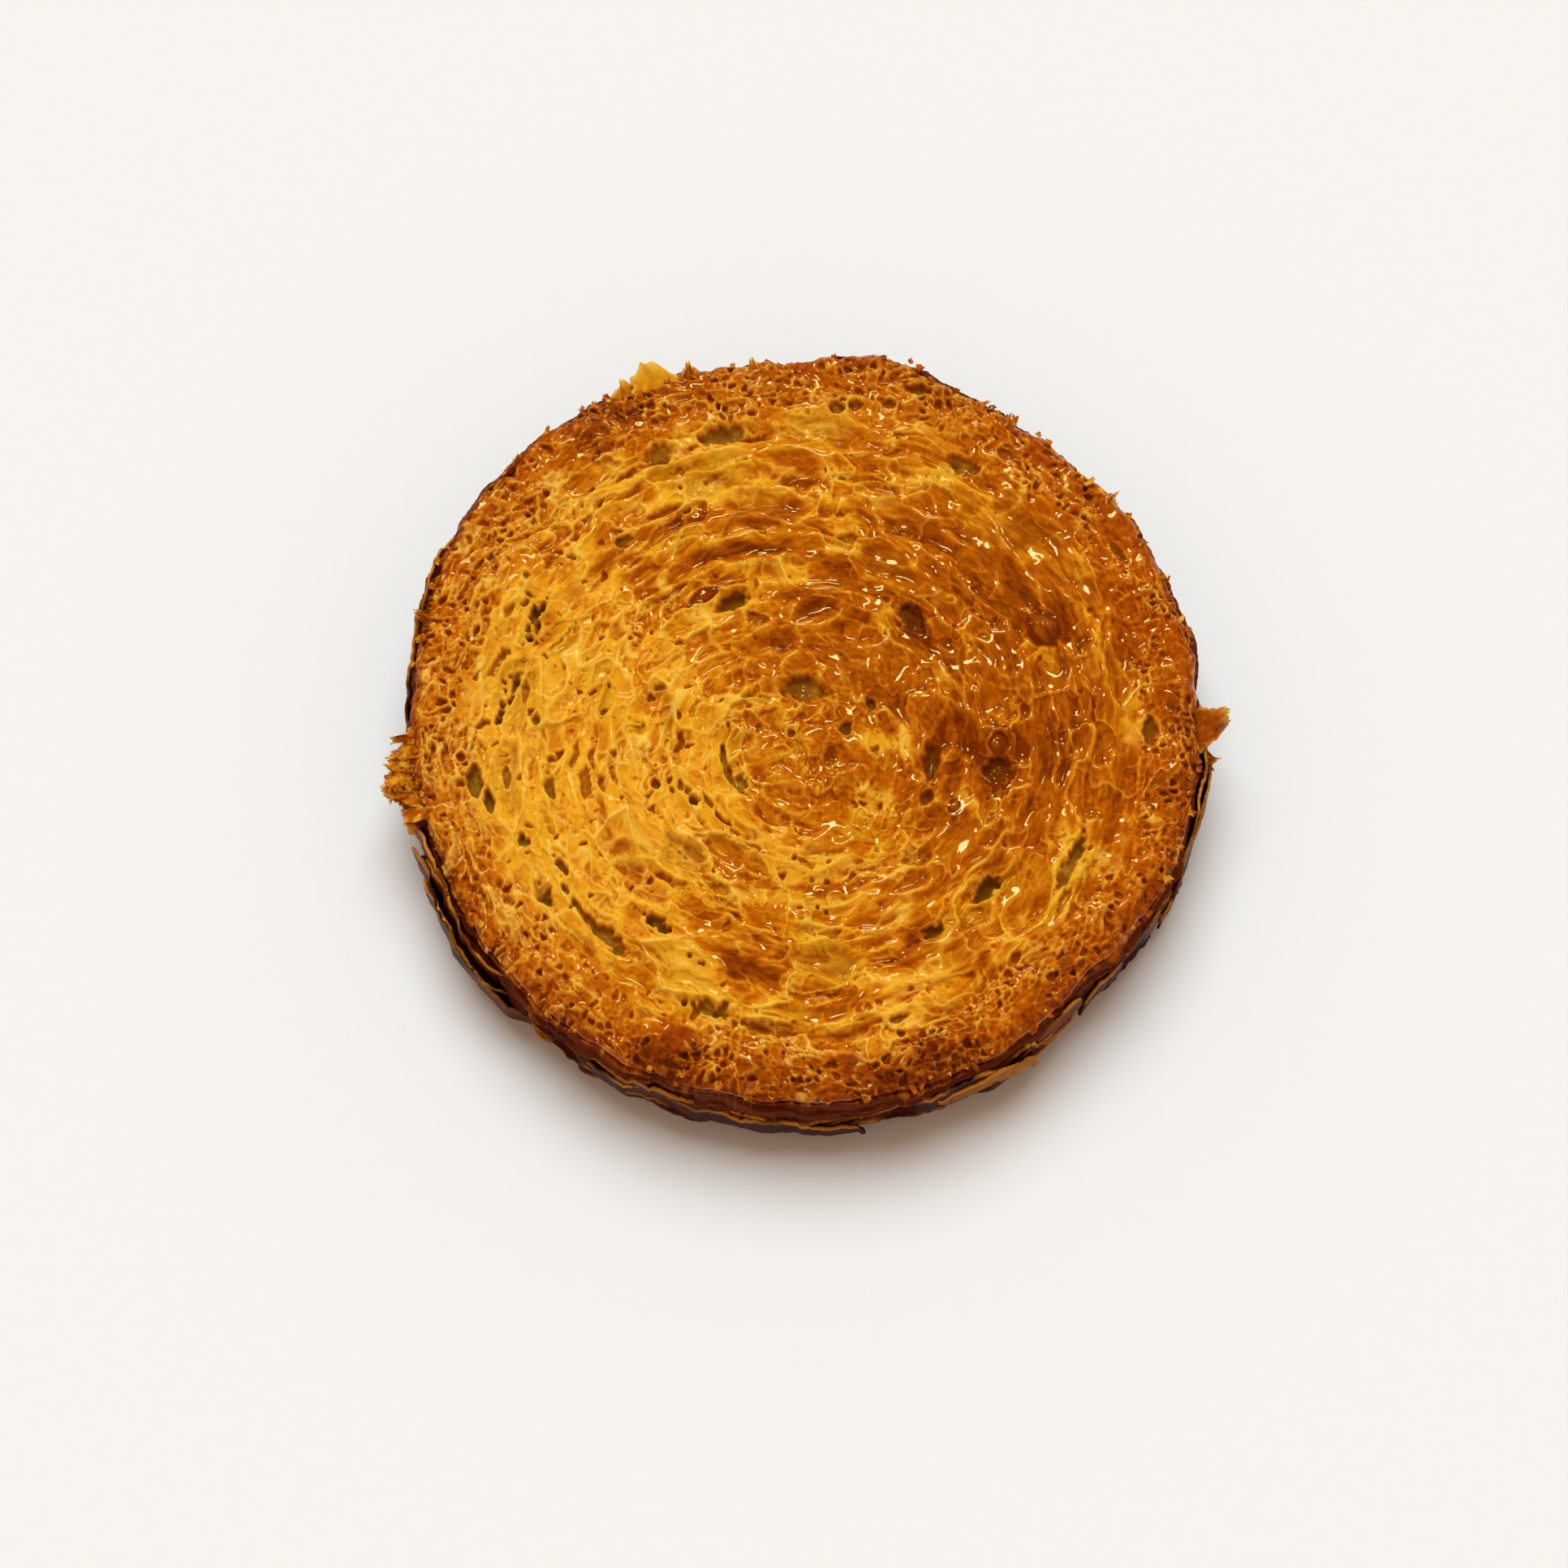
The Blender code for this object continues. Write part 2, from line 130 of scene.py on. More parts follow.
# Where the melted sugar lies: x, y, length along the layer, width across it, how dark (0 to 1)
CARAMEL_POOLS = (
    (-21.5, 22.4, 11.0, 2.0, 0.75),
    (-14.6, 25.6, 9.0, 2.0, 0.80),
    (-5.0, 27.4, 14.0, 2.4, 0.75),
    (-7.5, 22.6, 16.0, 2.4, 0.95),
    (3.0, 21.8, 9.0, 2.2, 0.75),
    (1.5, 31.0, 12.0, 2.0, 0.55),
    (-18.5, 12.5, 9.0, 3.0, 0.55),
    (-13.0, 16.2, 8.0, 2.0, 0.60),
    (2.0, 16.8, 9.0, 2.6, 0.80),
    (8.6, 15.0, 8.0, 3.0, 0.85),
    (14.5, 12.8, 9.0, 4.0, 0.95),
    (19.0, 8.0, 9.0, 3.0, 0.80),
    (8.0, 9.0, 8.0, 2.4, 0.50),
    (30.0, 11.0, 8.0, 6.5, 0.85),
    (27.0, 22.0, 16.0, 5.0, 0.50),
    (36.0, 5.0, 18.0, 5.0, 0.70),
    (22.5, 3.0, 12.0, 6.0, 0.65),
    (18.0, -1.0, 12.0, 3.4, 0.75),
    (16.0, -6.5, 9.0, 3.0, 0.90),
    (24.5, -5.5, 12.0, 6.0, 1.00),
    (30.5, -6.0, 12.0, 5.0, 0.85),
    (33.0, -12.0, 8.0, 3.0, 0.50),
    (13.0, -13.5, 8.0, 2.6, 0.65),
    (9.0, -16.0, 9.0, 1.6, 0.60),
    (4.0, -22.8, 14.0, 2.0, 0.80),
    (-9.0, -21.4, 10.0, 1.8, 0.60),
    (-4.5, -31.5, 8.0, 3.0, 0.60),
    (-7.6, -32.4, 5.0, 3.0, 0.80),
    (13.5, -31.5, 12.0, 4.0, 0.80),
    (20.5, -31.0, 9.0, 4.0, 0.70),
    (4.5, -38.4, 10.0, 2.4, 0.70),
    (-27.0, -28.6, 7.0, 3.4, 0.60),
    (-2.0, -0.8, 9.0, 7.0, 0.20),
    (-16.5, -44.0, 3.4, 4.4, 1.00),
    (-20.0, 1.5, 5.0, 2.0, 0.35),
    (3.0, -33.0, 34.0, 4.0, 0.50),
    (-2.0, -27.0, 20.0, 1.6, 0.50),
)
# Bubbles of caramel that set as they swelled: x, y, length, width, height
CARAMEL_DOMES = (
    (30.0, 11.0, 5.4, 4.6, 1.85),
    (24.0, -4.6, 3.4, 2.6, 0.9),
    (-12.4, 15.6, 4.6, 2.2, 0.5),
    (18.6, -12.6, 2.6, 2.0, 0.5),
)
WET_SIDE = (22.0, 6.0, 25.0)  # x, y and reach of the half that took up most of the sugar
DRY_SIDE = (-33.0, -10.0, 22.0)  # and of the part that stayed dry

# Darker patches of the rim: angle, reach along the rim (degrees), depth (mm), how dark
BROWN_PATCHES = (
    (122, 9, 9, 0.75),
    (118, 4, 10, 0.55),
    (75, 16, 6, 0.55),
    (50, 10, 6, 0.45),
    (20, 12, 6, 0.45),
    (-5, 16, 7, 0.60),
    (-30, 10, 7, 0.60),
    (-52, 12, 6, 0.60),
    (-72, 16, 8, 0.80),
    (-95, 12, 8, 0.60),
    (-110, 8, 9, 0.90),
    (-130, 9, 8, 0.60),
    (-152, 8, 6, 0.75),
    (178, 6, 6, 0.50),
    (152, 8, 5, 0.45),
)

CAVITY = 5.6  # the height down to which the rings of crumb reach, under the cut face
DENSITY = 0.165  # from one point of the cut face to the next
WEDGES = 20


def chance(seed, *places):
    """A repeatable random number from 0 to 1 for each whole-numbered place."""
    code = np.full(np.broadcast(*places).shape, seed * 144269504, dtype=np.int64)
    for place, factor in zip(places, (374761393, 668265263, 982451653)):
        code = code + place.astype(np.int64) * factor
    code = code & 0xFFFFFFFF
    code = ((code ^ (code >> 13)) * 1274126177) & 0xFFFFFFFF
    return (code ^ (code >> 16)) / 0xFFFFFFFF


def grain(size, seed, *places):
    """Smooth noise from -1 to 1, with lumps of about one size, over two or three coordinates."""
    scaled = [place / size for place in places]
    corner = [np.floor(place) for place in scaled]
    inside = [place - low for place, low in zip(scaled, corner)]
    ease = [t * t * t * (t * (t * 6 - 15) + 10) for t in inside]
    total = 0.0
    for number in range(2 ** len(places)):
        steps = [(number >> i) & 1 for i in range(len(places))]
        weight = 1.0
        for t, step in zip(ease, steps):
            weight = weight * (t if step else 1 - t)
        total = total + weight * chance(seed, *(low + step for low, step in zip(corner, steps)))
    return 2 * total - 1


def rough_grain(size, seed, *places):
    """Three sizes of noise on top of each other."""
    return sum(0.5 ** i * grain(size * 0.5 ** i, seed + i, *places) for i in range(3)) / 1.75


def smooth_step(low, high, value):
    share = np.clip((value - low) / (high - low), 0.0, 1.0)
    return share * share * (3 - 2 * share)


def hump(distance, width):
    return np.exp(-(distance / width) ** 2)


def rolled_cells(x, y, width, stretch, seed):
    """The cells between the layers: how far a place is from its cell's wall, in mm, and three random numbers.

    A cell is one layer wide and gets longer with the square root of its distance from the roll centre.
    """
    radius = np.hypot(x, y)
    angle = np.arctan2(y, x)
    arms = round(SHEET_PITCH / width)
    layer = np.round((radius - RISE * angle) / width)
    nearest = np.full(x.shape, 1e9)
    second = np.full(x.shape, 1e9)
    owner_arm = np.zeros(x.shape)
    owner_number = np.zeros(x.shape)
    for step in (-1, 0, 1):
        this_layer = layer + step
        arm = np.mod(this_layer, arms)
        line = np.maximum(width * this_layer + RISE * angle, 0.05)
        count = line ** 1.5 / (1.5 * RISE * stretch)
        for beside in (-1, 0, 1):
            number = np.floor(count) + beside
            middle = number + 0.5 + 0.75 * (chance(seed, arm, number) - 0.5)
            middle_line = (np.maximum(middle, 0.02) * 1.5 * RISE * stretch) ** (2 / 3)
            along = radius * (middle_line - line) / RISE / (stretch * np.sqrt(middle_line))
            across = (radius - line) / width + 0.7 * (chance(seed + 1, arm, number) - 0.5)
            size = 0.65 + 0.7 * chance(seed + 2, arm, number)
            distance = np.hypot(along, across) / size
            closer = distance < nearest
            second = np.where(closer, nearest, np.minimum(second, distance))
            owner_arm = np.where(closer, arm, owner_arm)
            owner_number = np.where(closer, number, owner_number)
            nearest = np.where(closer, distance, nearest)
    picks = [chance(seed + 3 + i, owner_arm, owner_number) for i in range(3)]
    return 0.5 * width * (second - nearest), picks


def pores(x, y, size, seed):
    """Small round pores: how far a place is from the wall of its pore, in mm, and a random number for it."""
    column = np.floor(x / size)
    row = np.floor(y / size)
    nearest = np.full(x.shape, 1e9)
    second = np.full(x.shape, 1e9)
    pick = np.zeros(x.shape)
    for i in (-1, 0, 1):
        for j in (-1, 0, 1):
            middle_x = column + i + chance(seed, column + i, row + j)
            middle_y = row + j + chance(seed + 1, column + i, row + j)
            distance = np.hypot(x / size - middle_x, y / size - middle_y)
            closer = distance < nearest
            second = np.where(closer, nearest, np.minimum(second, distance))
            pick = np.where(closer, chance(seed + 2, column + i, row + j), pick)
            nearest = np.where(closer, distance, nearest)
    return 0.5 * size * (second - nearest), pick


def drawn_place(x, y, drawn_out):
    """Three coordinates in which noise is drawn out along the layers, and even at the roll centre."""
    radius = np.hypot(x, y)
    stretch = 1 + (drawn_out - 1) * smooth_step(1.0, 9.0, radius)
    return x / stretch, y / stretch, np.sqrt(radius ** 2 + 25)


def pulled(x, y, size, seed, out, along):
    """Moves places out from the roll centre and along the layers, as the melting dough was pulled about."""
    radius = np.maximum(np.hypot(x, y), 0.5)
    way_x, way_y = x / radius, y / radius
    place = drawn_place(x, y, 2.0)
    out = out * rough_grain(size, seed, *place)
    along = along * rough_grain(1.3 * size, seed + 3, *place)
    return x + way_x * out - way_y * along, y + way_y * out + way_x * along


def ribbons(x, y, size, seed, drawn_out):
    """How far a place is from the crest of its ribbon of melted dough, -1 to 1."""
    return grain(size, seed, *drawn_place(x, y, drawn_out))


def overlap(side, sharp):
    """One fold of dough lies over the next: a sharp drop beside the crest that levels out again."""
    return smooth_step(0.02, sharp, side) * (1 - smooth_step(sharp, 0.8, side))


def along_layer(x, y, place_x, place_y, length, width):
    """How far out a place is in an oval that lies along the layer: 0 in its middle and 1 at its edge."""
    out_x = place_x - ROLL_CENTRE[0]
    out_y = place_y - ROLL_CENTRE[1]
    far = math.hypot(out_x, out_y)
    out_x, out_y = out_x / far, out_y / far
    # The oval bends with the layer: across is measured by radius, along by the way round.
    across = np.hypot(x - ROLL_CENTRE[0], y - ROLL_CENTRE[1]) - far
    along = (y - place_y) * out_x - (x - place_x) * out_y
    ahead = (x - ROLL_CENTRE[0]) * out_x + (y - ROLL_CENTRE[1]) * out_y > 0
    lens = (np.abs(2 * across / width) ** 1.6 + np.abs(2 * along / length) ** 1.6) ** (1 / 1.6)
    return np.where(ahead, lens, 9.0)


ragged_angles = np.linspace(-math.pi, math.pi, 2881)
ragged_line = np.array(
    [RIM_RAGGED * noise.noise(Vector((math.cos(a), math.sin(a), 0.3)) * RIM_TEETH) for a in ragged_angles]
)


def rim_radius(angle):
    """The crumb's edge, as the solid has it."""
    radius = RIM_RADIUS + 0.55 * np.interp(angle, ragged_angles, ragged_line)
    edge_x, edge_y = RIM_RADIUS * np.cos(angle), RIM_RADIUS * np.sin(angle)
    radius = radius + 0.35 * rough_grain(5.0, 501, edge_x, edge_y)
    radius = radius + 0.22 * rough_grain(1.3, 504, edge_x, edge_y)
    for waves, height, place in RIM_LOBES:
        radius = radius + height * np.cos(waves * angle - math.radians(place))
    for place, reach, height in RIM_SWELLS:
        radius = radius + height * hump(np.mod(np.degrees(angle) - place + 180, 360) - 180, reach)
    return radius


def face_place(share, angle):
    """x and y of a place on the cut face, from its share of the way out and its angle."""
    out = share * rim_radius(angle)
    off_x, off_y = (place * (1 - share) for place in ROLL_CENTRE)
    return off_x + out * np.cos(angle), off_y + out * np.sin(angle)


def sugar(x, y):
    """How much melted sugar has soaked in, from 0 for dry crumb to 1 for a dark pool."""
    drift_x = x + 1.6 * grain(5.0, 301, x, y) + 0.7 * grain(1.8, 302, x, y)
    drift_y = y + 1.6 * grain(5.0, 303, x, y) + 0.7 * grain(1.8, 304, x, y)
    soaked = 0.0
    for pool_x, pool_y, length, width, dark in CARAMEL_POOLS:
        oval = along_layer(drift_x, drift_y, pool_x, pool_y, 1.35 * length, 1.6 * width)
        soaked = np.maximum(soaked, dark * (1 - smooth_step(0.35, 1.2, oval)))
    streaks = rough_grain(4.0, 305, drift_x, drift_y)
    wet = 1 - smooth_step(0.5, 1.5, np.hypot(x - WET_SIDE[0], y - WET_SIDE[1]) / WET_SIDE[2])
    dry = 1 - smooth_step(0.6, 1.4, np.hypot(x - DRY_SIDE[0], y - DRY_SIDE[1]) / DRY_SIDE[2])
    soaked = np.maximum(soaked, (0.46 + 0.28 * wet) * smooth_step(-0.45, 0.4, streaks + 0.40 * wet))
    return soaked * (1 - 0.85 * dry)


def browning(share, angle, x, y):
    """How far the rim has browned, from 0 for golden crumb to 1 for dark crust."""
    inwards = (1 - share) * RIM_RADIUS
    uneven = 2.2 * rough_grain(5.0, 311, x, y) + 0.8 * grain(1.4, 312, x, y)
    brown = 0.55 * (1 - smooth_step(0.5, 6.0, inwards + uneven))
    brown = np.maximum(brown, 0.28 * (1 - smooth_step(4.0, 11.0, inwards + 1.5 * uneven)))
    for place, reach, depth, dark in BROWN_PATCHES:
        gap = np.abs(np.mod(angle - math.radians(place) + math.pi, TURN) - math.pi)
        near = 1 - smooth_step(0.4, 1.3, gap / math.radians(reach) + 0.12 * uneven)
        brown = np.maximum(brown, dark * near * (1 - smooth_step(0.3 * depth, depth, inwards + uneven)))
    left = hump(np.abs(np.mod(angle, TURN) - math.pi), math.radians(42))
    upper_left = hump(np.mod(angle, TURN) - math.radians(148), math.radians(32))
    skin_edge = (0.5 + 0.4 * upper_left) * (1 - smooth_step(0.3, 1.5 + upper_left, inwards + 0.25 * uneven))
    return np.maximum(brown * (1 - 0.65 * left), skin_edge)


def add_layers(relief, x, y, bent_x, bent_y, open_face, seed):
    """Each turn of the rolled sheet rises outwards and drops to the next, and so do the leaves in it."""
    sheet = (np.hypot(bent_x, bent_y) - RISE * np.arctan2(bent_y, bent_x)) / SHEET_PITCH
    fold = np.mod(sheet + 0.06 * rough_grain(3.0, seed + 41, x, y), 1.0)
    sheet_step = 0.45 * smooth_step(0.0, 0.85, fold) - 0.45 * smooth_step(0.86, 1.0, fold) - 0.15
    relief = relief + open_face * sheet_step
    leaves = np.mod(3 * sheet + 0.25 * rough_grain(4.0, seed + 44, x, y), 1.0)
    lifted = smooth_step(-0.2, 0.4, grain(7.0, seed + 47, x, y))
    leaf_step = 0.36 * smooth_step(0.1, 0.8, leaves) - 0.36 * smooth_step(0.82, 1.0, leaves)
    return relief + open_face * lifted * leaf_step


def add_ribbons(relief, x, y, bent_x, bent_y, in_rim, wide_open, seed):
    """Folds of melted dough in three sizes, with sharp crests and smooth bowls between them.
    The crests are returned for their painted highlight.
    """
    melt_x, melt_y = pulled(bent_x, bent_y, 3.6, seed + 100, 1.6, 2.6)
    melt_x, melt_y = pulled(melt_x, melt_y, 1.7, seed + 106, 0.6, 1.0)
    broad_ribbon = ribbons(melt_x, melt_y, 2.4, seed + 112, 1.9)
    ribbon = ribbons(melt_x, melt_y, 1.2, seed + 113, 1.6)
    thread = ribbons(melt_x, melt_y, 0.62, seed + 114, 1.6)
    patches = [grain(size, seed + 115 + i, x, y) for i, size in enumerate((6.0, 3.5, 3.0))]
    broad_share = (0.5 + 0.5 * smooth_step(-0.3, 0.3, patches[0])) * (1 - 0.4 * wide_open)
    ribbon_share = (0.35 + 0.65 * smooth_step(-0.3, 0.4, patches[1])) * (1 - 0.5 * wide_open)
    thread_share = smooth_step(-0.4, 0.4, patches[2]) * (1 - 0.5 * wide_open)
    folded = 0.32 * broad_share * overlap(broad_ribbon, 0.14) + 0.26 * ribbon_share * overlap(ribbon, 0.22)
    folded = (1 - 0.6 * in_rim) * folded
    broad_ribbon, ribbon, thread = np.abs(broad_ribbon), np.abs(ribbon), np.abs(thread)
    relief = relief - folded - (1 - 0.4 * in_rim) * 0.65 * broad_share * (broad_ribbon - 0.25)
    relief = relief - (1 + 0.5 * in_rim) * 0.46 * ribbon_share * (ribbon - 0.25)
    relief = relief - (0.6 + 0.9 * in_rim) * 0.36 * thread_share * (thread - 0.25)
    crest_highlight = np.maximum(broad_share * hump(broad_ribbon, 0.07), 0.8 * ribbon_share * hump(ribbon, 0.09))
    crest_highlight = np.maximum(crest_highlight, 0.5 * thread_share * hump(thread, 0.12))
    return relief, crest_highlight


def add_holes(relief, x, y, holes, seed):
    """The named holes, how deep each place lies in them, and their lips."""
    torn = 0.55 * grain(1.3, seed + 70, x, y) + 0.40 * grain(0.55, seed + 71, x, y)
    smooth = 0.32 * grain(2.0, seed + 72, x, y) + 0.16 * grain(0.8, seed + 73, x, y)
    pit = np.zeros(x.shape)
    lip = np.zeros(x.shape)
    for hole_x, hole_y, length, width, deep, rags in holes:
        near = np.abs(x - hole_x) + np.abs(y - hole_y) < 1.2 * (length + width)
        oval = along_layer(x[near], y[near], hole_x, hole_y, length, width)
        oval = oval + rags * torn[near] + (1 - rags) * smooth[near]
        depth = HOLE_DEPTH * deep * (1 - smooth_step(*HOLE_EDGE, oval))
        pit[near] = np.maximum(pit[near], depth)
        lip[near] = np.maximum(lip[near], hump(oval - 1.16, 0.14) * (1 - 0.6 * rags))
    lip = lip * np.clip(0.7 + 0.6 * grain(1.5, seed + 74, x, y), 0, 1)
    uneven_pit = pit * (0.85 + 0.3 * grain(1.6, seed + 75, x, y))
    relief = relief * (1 - 0.45 * smooth_step(0.0, 1.6, pit)) - uneven_pit + 0.15 * lip
    return relief, pit, lip


def add_domes(relief, soaked, x, y, domes, seed):
    """The named bubbles of caramel, and the sugar with them."""
    for dome_x, dome_y, length, width, height in domes:
        oval = along_layer(x, y, dome_x, dome_y, length, width) + 0.06 * grain(1.5, seed + 76, x, y)
        inside = 1 - smooth_step(0.86, 1.0, oval)
        dome = height * (1 - np.clip(oval, 0, 1) ** 1.9) - 0.6
        relief = relief + inside * (dome - relief) + 0.3 * hump(oval - 1.12, 0.12)
        soaked = np.maximum(soaked, 1.1 * inside)
    return relief, soaked


def cut_face(share, angle, seed=SEED, holes=HOLES, domes=CARAMEL_DOMES):
    """The relief of a cut face over its level plane, in mm, and what its finish needs to know."""
    x, y = face_place(share, angle)
    inner_x = x - ROLL_CENTRE[0]
    inner_y = y - ROLL_CENTRE[1]
    in_rim = smooth_step(*RIM_SHARE, share + 0.03 * grain(5.0, seed + 20, x, y))
    in_heart = 1 - smooth_step(3.0, 7.0, np.hypot(inner_x, inner_y) + grain(3.0, seed + 19, x, y))
    soaked = sugar(x, y)
    drift = 1.25 * smooth_step(0.0, 0.3, share)
    bent_x = inner_x + drift * rough_grain(9.0, seed + 21, x, y)
    bent_y = inner_y + drift * rough_grain(9.0, seed + 24, x, y)
    wavy_x = bent_x + 0.55 * rough_grain(1.9, seed + 27, x, y)
    wavy_y = bent_y + 0.55 * rough_grain(1.9, seed + 30, x, y)

    relief = 0.35 * grain(14.0, seed + 40, x, y)
    relief = add_layers(relief, x, y, bent_x, bent_y, (1 - in_rim) * (1 - in_heart), seed)

    # Wide cells, the usual cells between two layers, and the small ones that share their walls
    half_x = bent_x + 0.3 * (wavy_x - bent_x)
    half_y = bent_y + 0.3 * (wavy_y - bent_y)
    wide, wide_picks = rolled_cells(half_x, half_y, 5.0, 1.55, seed)
    most_x = 0.3 * bent_x + 0.7 * wavy_x
    most_y = 0.3 * bent_y + 0.7 * wavy_y
    usual, usual_picks = rolled_cells(most_x, most_y, 2.5, 1.15, seed + 8)
    small, small_picks = rolled_cells(wavy_x, wavy_y, 1.25, 0.85, seed + 16)
    round_cell, round_pick = pores(wavy_x + 20, wavy_y + 20, 2.3, seed + 56)
    wide_open = smooth_step(0.45, 0.7, wide_picks[0]) * (0.45 + 0.55 * wide_picks[1]) * (1 - in_heart)
    usual_open = smooth_step(0.4, 0.65, usual_picks[0]) * (0.35 + 0.65 * usual_picks[1])
    usual_open = usual_open * (1 - 0.7 * wide_open) * (1 - in_heart)
    small_open = smooth_step(0.5, 0.75, small_picks[0]) * (0.3 + 0.7 * small_picks[1]) * (1 - 0.8 * wide_open)
    heart_open = in_heart * smooth_step(0.4, 0.7, round_pick)
    calm = 1 - 0.75 * smooth_step(0.15, 0.7, soaked)
    relief = relief - (1 - in_rim) * 0.9 * wide_open * smooth_step(0.08, 1.2, wide)
    relief = relief - (1 - 0.75 * in_rim) * 0.55 * usual_open * smooth_step(0.06, 0.6, usual)
    small_hollow = (1 - 0.3 * in_rim) * (1 - in_heart) * 0.35 * small_open * smooth_step(0.02, 0.34, small)
    relief = relief - small_hollow * calm
    relief = relief - 0.6 * heart_open * smooth_step(0.06, 0.55, round_cell)
    web = np.maximum(wide_open * hump(wide - 0.08, 0.13), 0.8 * usual_open * hump(usual - 0.06, 0.11))
    web = np.maximum(web, 0.7 * heart_open * hump(round_cell - 0.08, 0.14))
    web = web * (1 - in_rim) * smooth_step(-0.25, 0.5, grain(2.6, seed + 43, x, y))
    relief = relief + (0.2 + 0.15 * calm) * web
    relief, crest_highlight = add_ribbons(relief, x, y, bent_x, bent_y, in_rim, wide_open, seed)

    # The dense rim: round pores and torn crumb
    pore, pore_pick = pores(wavy_x + 30, wavy_y + 30, 1.15, seed + 50)
    fine, fine_pick = pores(wavy_x + 30, 30 + wavy_y, 0.6, seed + 54)
    pore_open = smooth_step(0.55, 0.8, pore_pick)
    rim_relief = 0.6 * rough_grain(3.0, seed + 60, x, y) + 0.22 * rough_grain(0.9, seed + 64, x, y)
    rim_relief = rim_relief - 1.0 * pore_open * smooth_step(0.08, 0.42, pore)
    rim_relief = rim_relief - 0.28 * smooth_step(0.3, 0.7, fine_pick) * smooth_step(0.03, 0.22, fine)
    relief = relief + in_rim * rim_relief
    relief = relief + (1 - in_rim) * 0.05 * rough_grain(0.9, seed + 65, wavy_x, wavy_y) * calm
    pinhole = (1 - in_rim) * 0.3 * smooth_step(0.92, 0.95, fine_pick) * smooth_step(0.03, 0.2, fine)
    relief = relief - pinhole * calm
    dry_pore = smooth_step(0.93, 0.95, pore_pick) * smooth_step(0.1, 0.32, pore)
    dry_pore = np.maximum(dry_pore, smooth_step(0.94, 0.96, small_picks[2]) * smooth_step(0.08, 0.3, small))
    dry_pore = (1 - in_rim) * (1 - in_heart) * dry_pore * calm ** 2
    relief = relief - 0.9 * dry_pore
    relief = np.where(relief > 0.6, 0.6 + 0.45 * np.tanh((relief - 0.6) / 0.45), relief)

    relief, pit, lip = add_holes(relief, x, y, holes, seed)
    relief, soaked = add_domes(relief, soaked, x, y, domes, seed)

    # Set caramel lies level in the small hollows
    level = -0.35 + 0.25 * grain(6.0, seed + 80, x, y)
    filled = np.maximum(relief, level) * 0.5 + relief * 0.5
    relief = relief + (filled - relief) * smooth_step(0.35, 0.8, soaked) * (1 - smooth_step(0.8, 1.6, pit))

    tone = 1.6 * wide_open * (wide_picks[2] - 0.5) * smooth_step(0.05, 0.9, wide)
    tone = tone + 1.5 * (1 - wide_open) * (usual_picks[2] - 0.5) * smooth_step(0.03, 0.4, usual)
    # web takes in the holes' pale lips and the crests' painted highlight; hollow and pit set painted shade in
    # the hollows and holes
    facts = {
        "sugar": soaked,
        "brown": browning(share, angle, x, y),
        "web": np.clip(np.maximum(np.maximum(web, 0.6 * lip), crest_highlight), 0, 1),
        "hollow": np.clip((0.1 - relief) / 1.7, 0, 1),
        "pit": np.clip(pit / 1.8 + 0.5 * dry_pore, 0, 1),
        "tone": tone * (1 - in_rim),
        "rim": in_rim,
    }
    return x, y, relief, facts


MAP_STEP = 0.2
MAP_REACH = 54.0


def share_and_angle(x, y):
    """The way back from a place on the cut face to its share of the way out and its angle."""
    share = np.hypot(x, y) / RIM_RADIUS
    for _ in range(6):
        out_x = x - ROLL_CENTRE[0] * (1 - share)
        out_y = y - ROLL_CENTRE[1] * (1 - share)
        angle = np.arctan2(out_y, out_x)
        share = np.hypot(out_x, out_y) / rim_radius(angle)
    return share, angle


def softened(heights, reach):
    """A square map of heights, blurred over a reach in mm."""
    steps = np.fft.fftfreq(len(heights), MAP_STEP)
    fade = np.exp(-2 * (math.pi * reach * steps) ** 2)
    return np.fft.ifft2(np.fft.fft2(heights) * fade[:, None] * fade[None, :]).real


def read_map(heights, x, y):
    column = np.clip((x + MAP_REACH) / MAP_STEP, 0, len(heights) - 2)
    row = np.clip((y + MAP_REACH) / MAP_STEP, 0, len(heights) - 2)
    i, j = column.astype(int), row.astype(int)
    u, v = column - i, row - j
    low = heights[i, j] * (1 - u) + heights[i + 1, j] * u
    high = heights[i, j + 1] * (1 - u) + heights[i + 1, j + 1] * u
    return low * (1 - v) + high * v


def crevice_maps(seed, holes, domes):
    """The height that lies round each place, near by and farther off. Sugar runs into what is below it."""
    line = np.arange(-MAP_REACH, MAP_REACH, MAP_STEP)
    relief = cut_face(*share_and_angle(*np.meshgrid(line, line, indexing="ij")), seed, holes, domes)[2]
    return softened(relief, 0.3), softened(relief, 1.0), softened(relief, 0.38)


def add_crevices(maps, x, y, relief, facts):
    """Marks crevices, for painted shade, and crests, for painted highlight, and lays the set caramel
    over the small relief as a smooth skin.

    glaze is the way that the caramel's own surface faces, and is as long as the caramel is whole.
    """
    near, far = (read_map(heights, x, y) - relief for heights in maps[:2])
    sunk = 1.6 * near + 0.75 * far
    facts["crevice_shade"] = np.clip(sunk, 0, 1)
    facts["crest_highlight"] = np.clip(-sunk, 0, 1)
    skin = maps[2]
    step = 0.5 * MAP_STEP
    slope_x = (read_map(skin, x + step, y) - read_map(skin, x - step, y)) / MAP_STEP
    slope_y = (read_map(skin, x, y + step) - read_map(skin, x, y - step)) / MAP_STEP
    facts["glaze"] = np.stack((-slope_x, -slope_y, np.ones(x.shape)), axis=1)
    facts["glaze"] /= np.linalg.norm(facts["glaze"], axis=1, keepdims=True)
    return relief + near * 0.5 * smooth_step(0.15, 0.6, facts["sugar"])


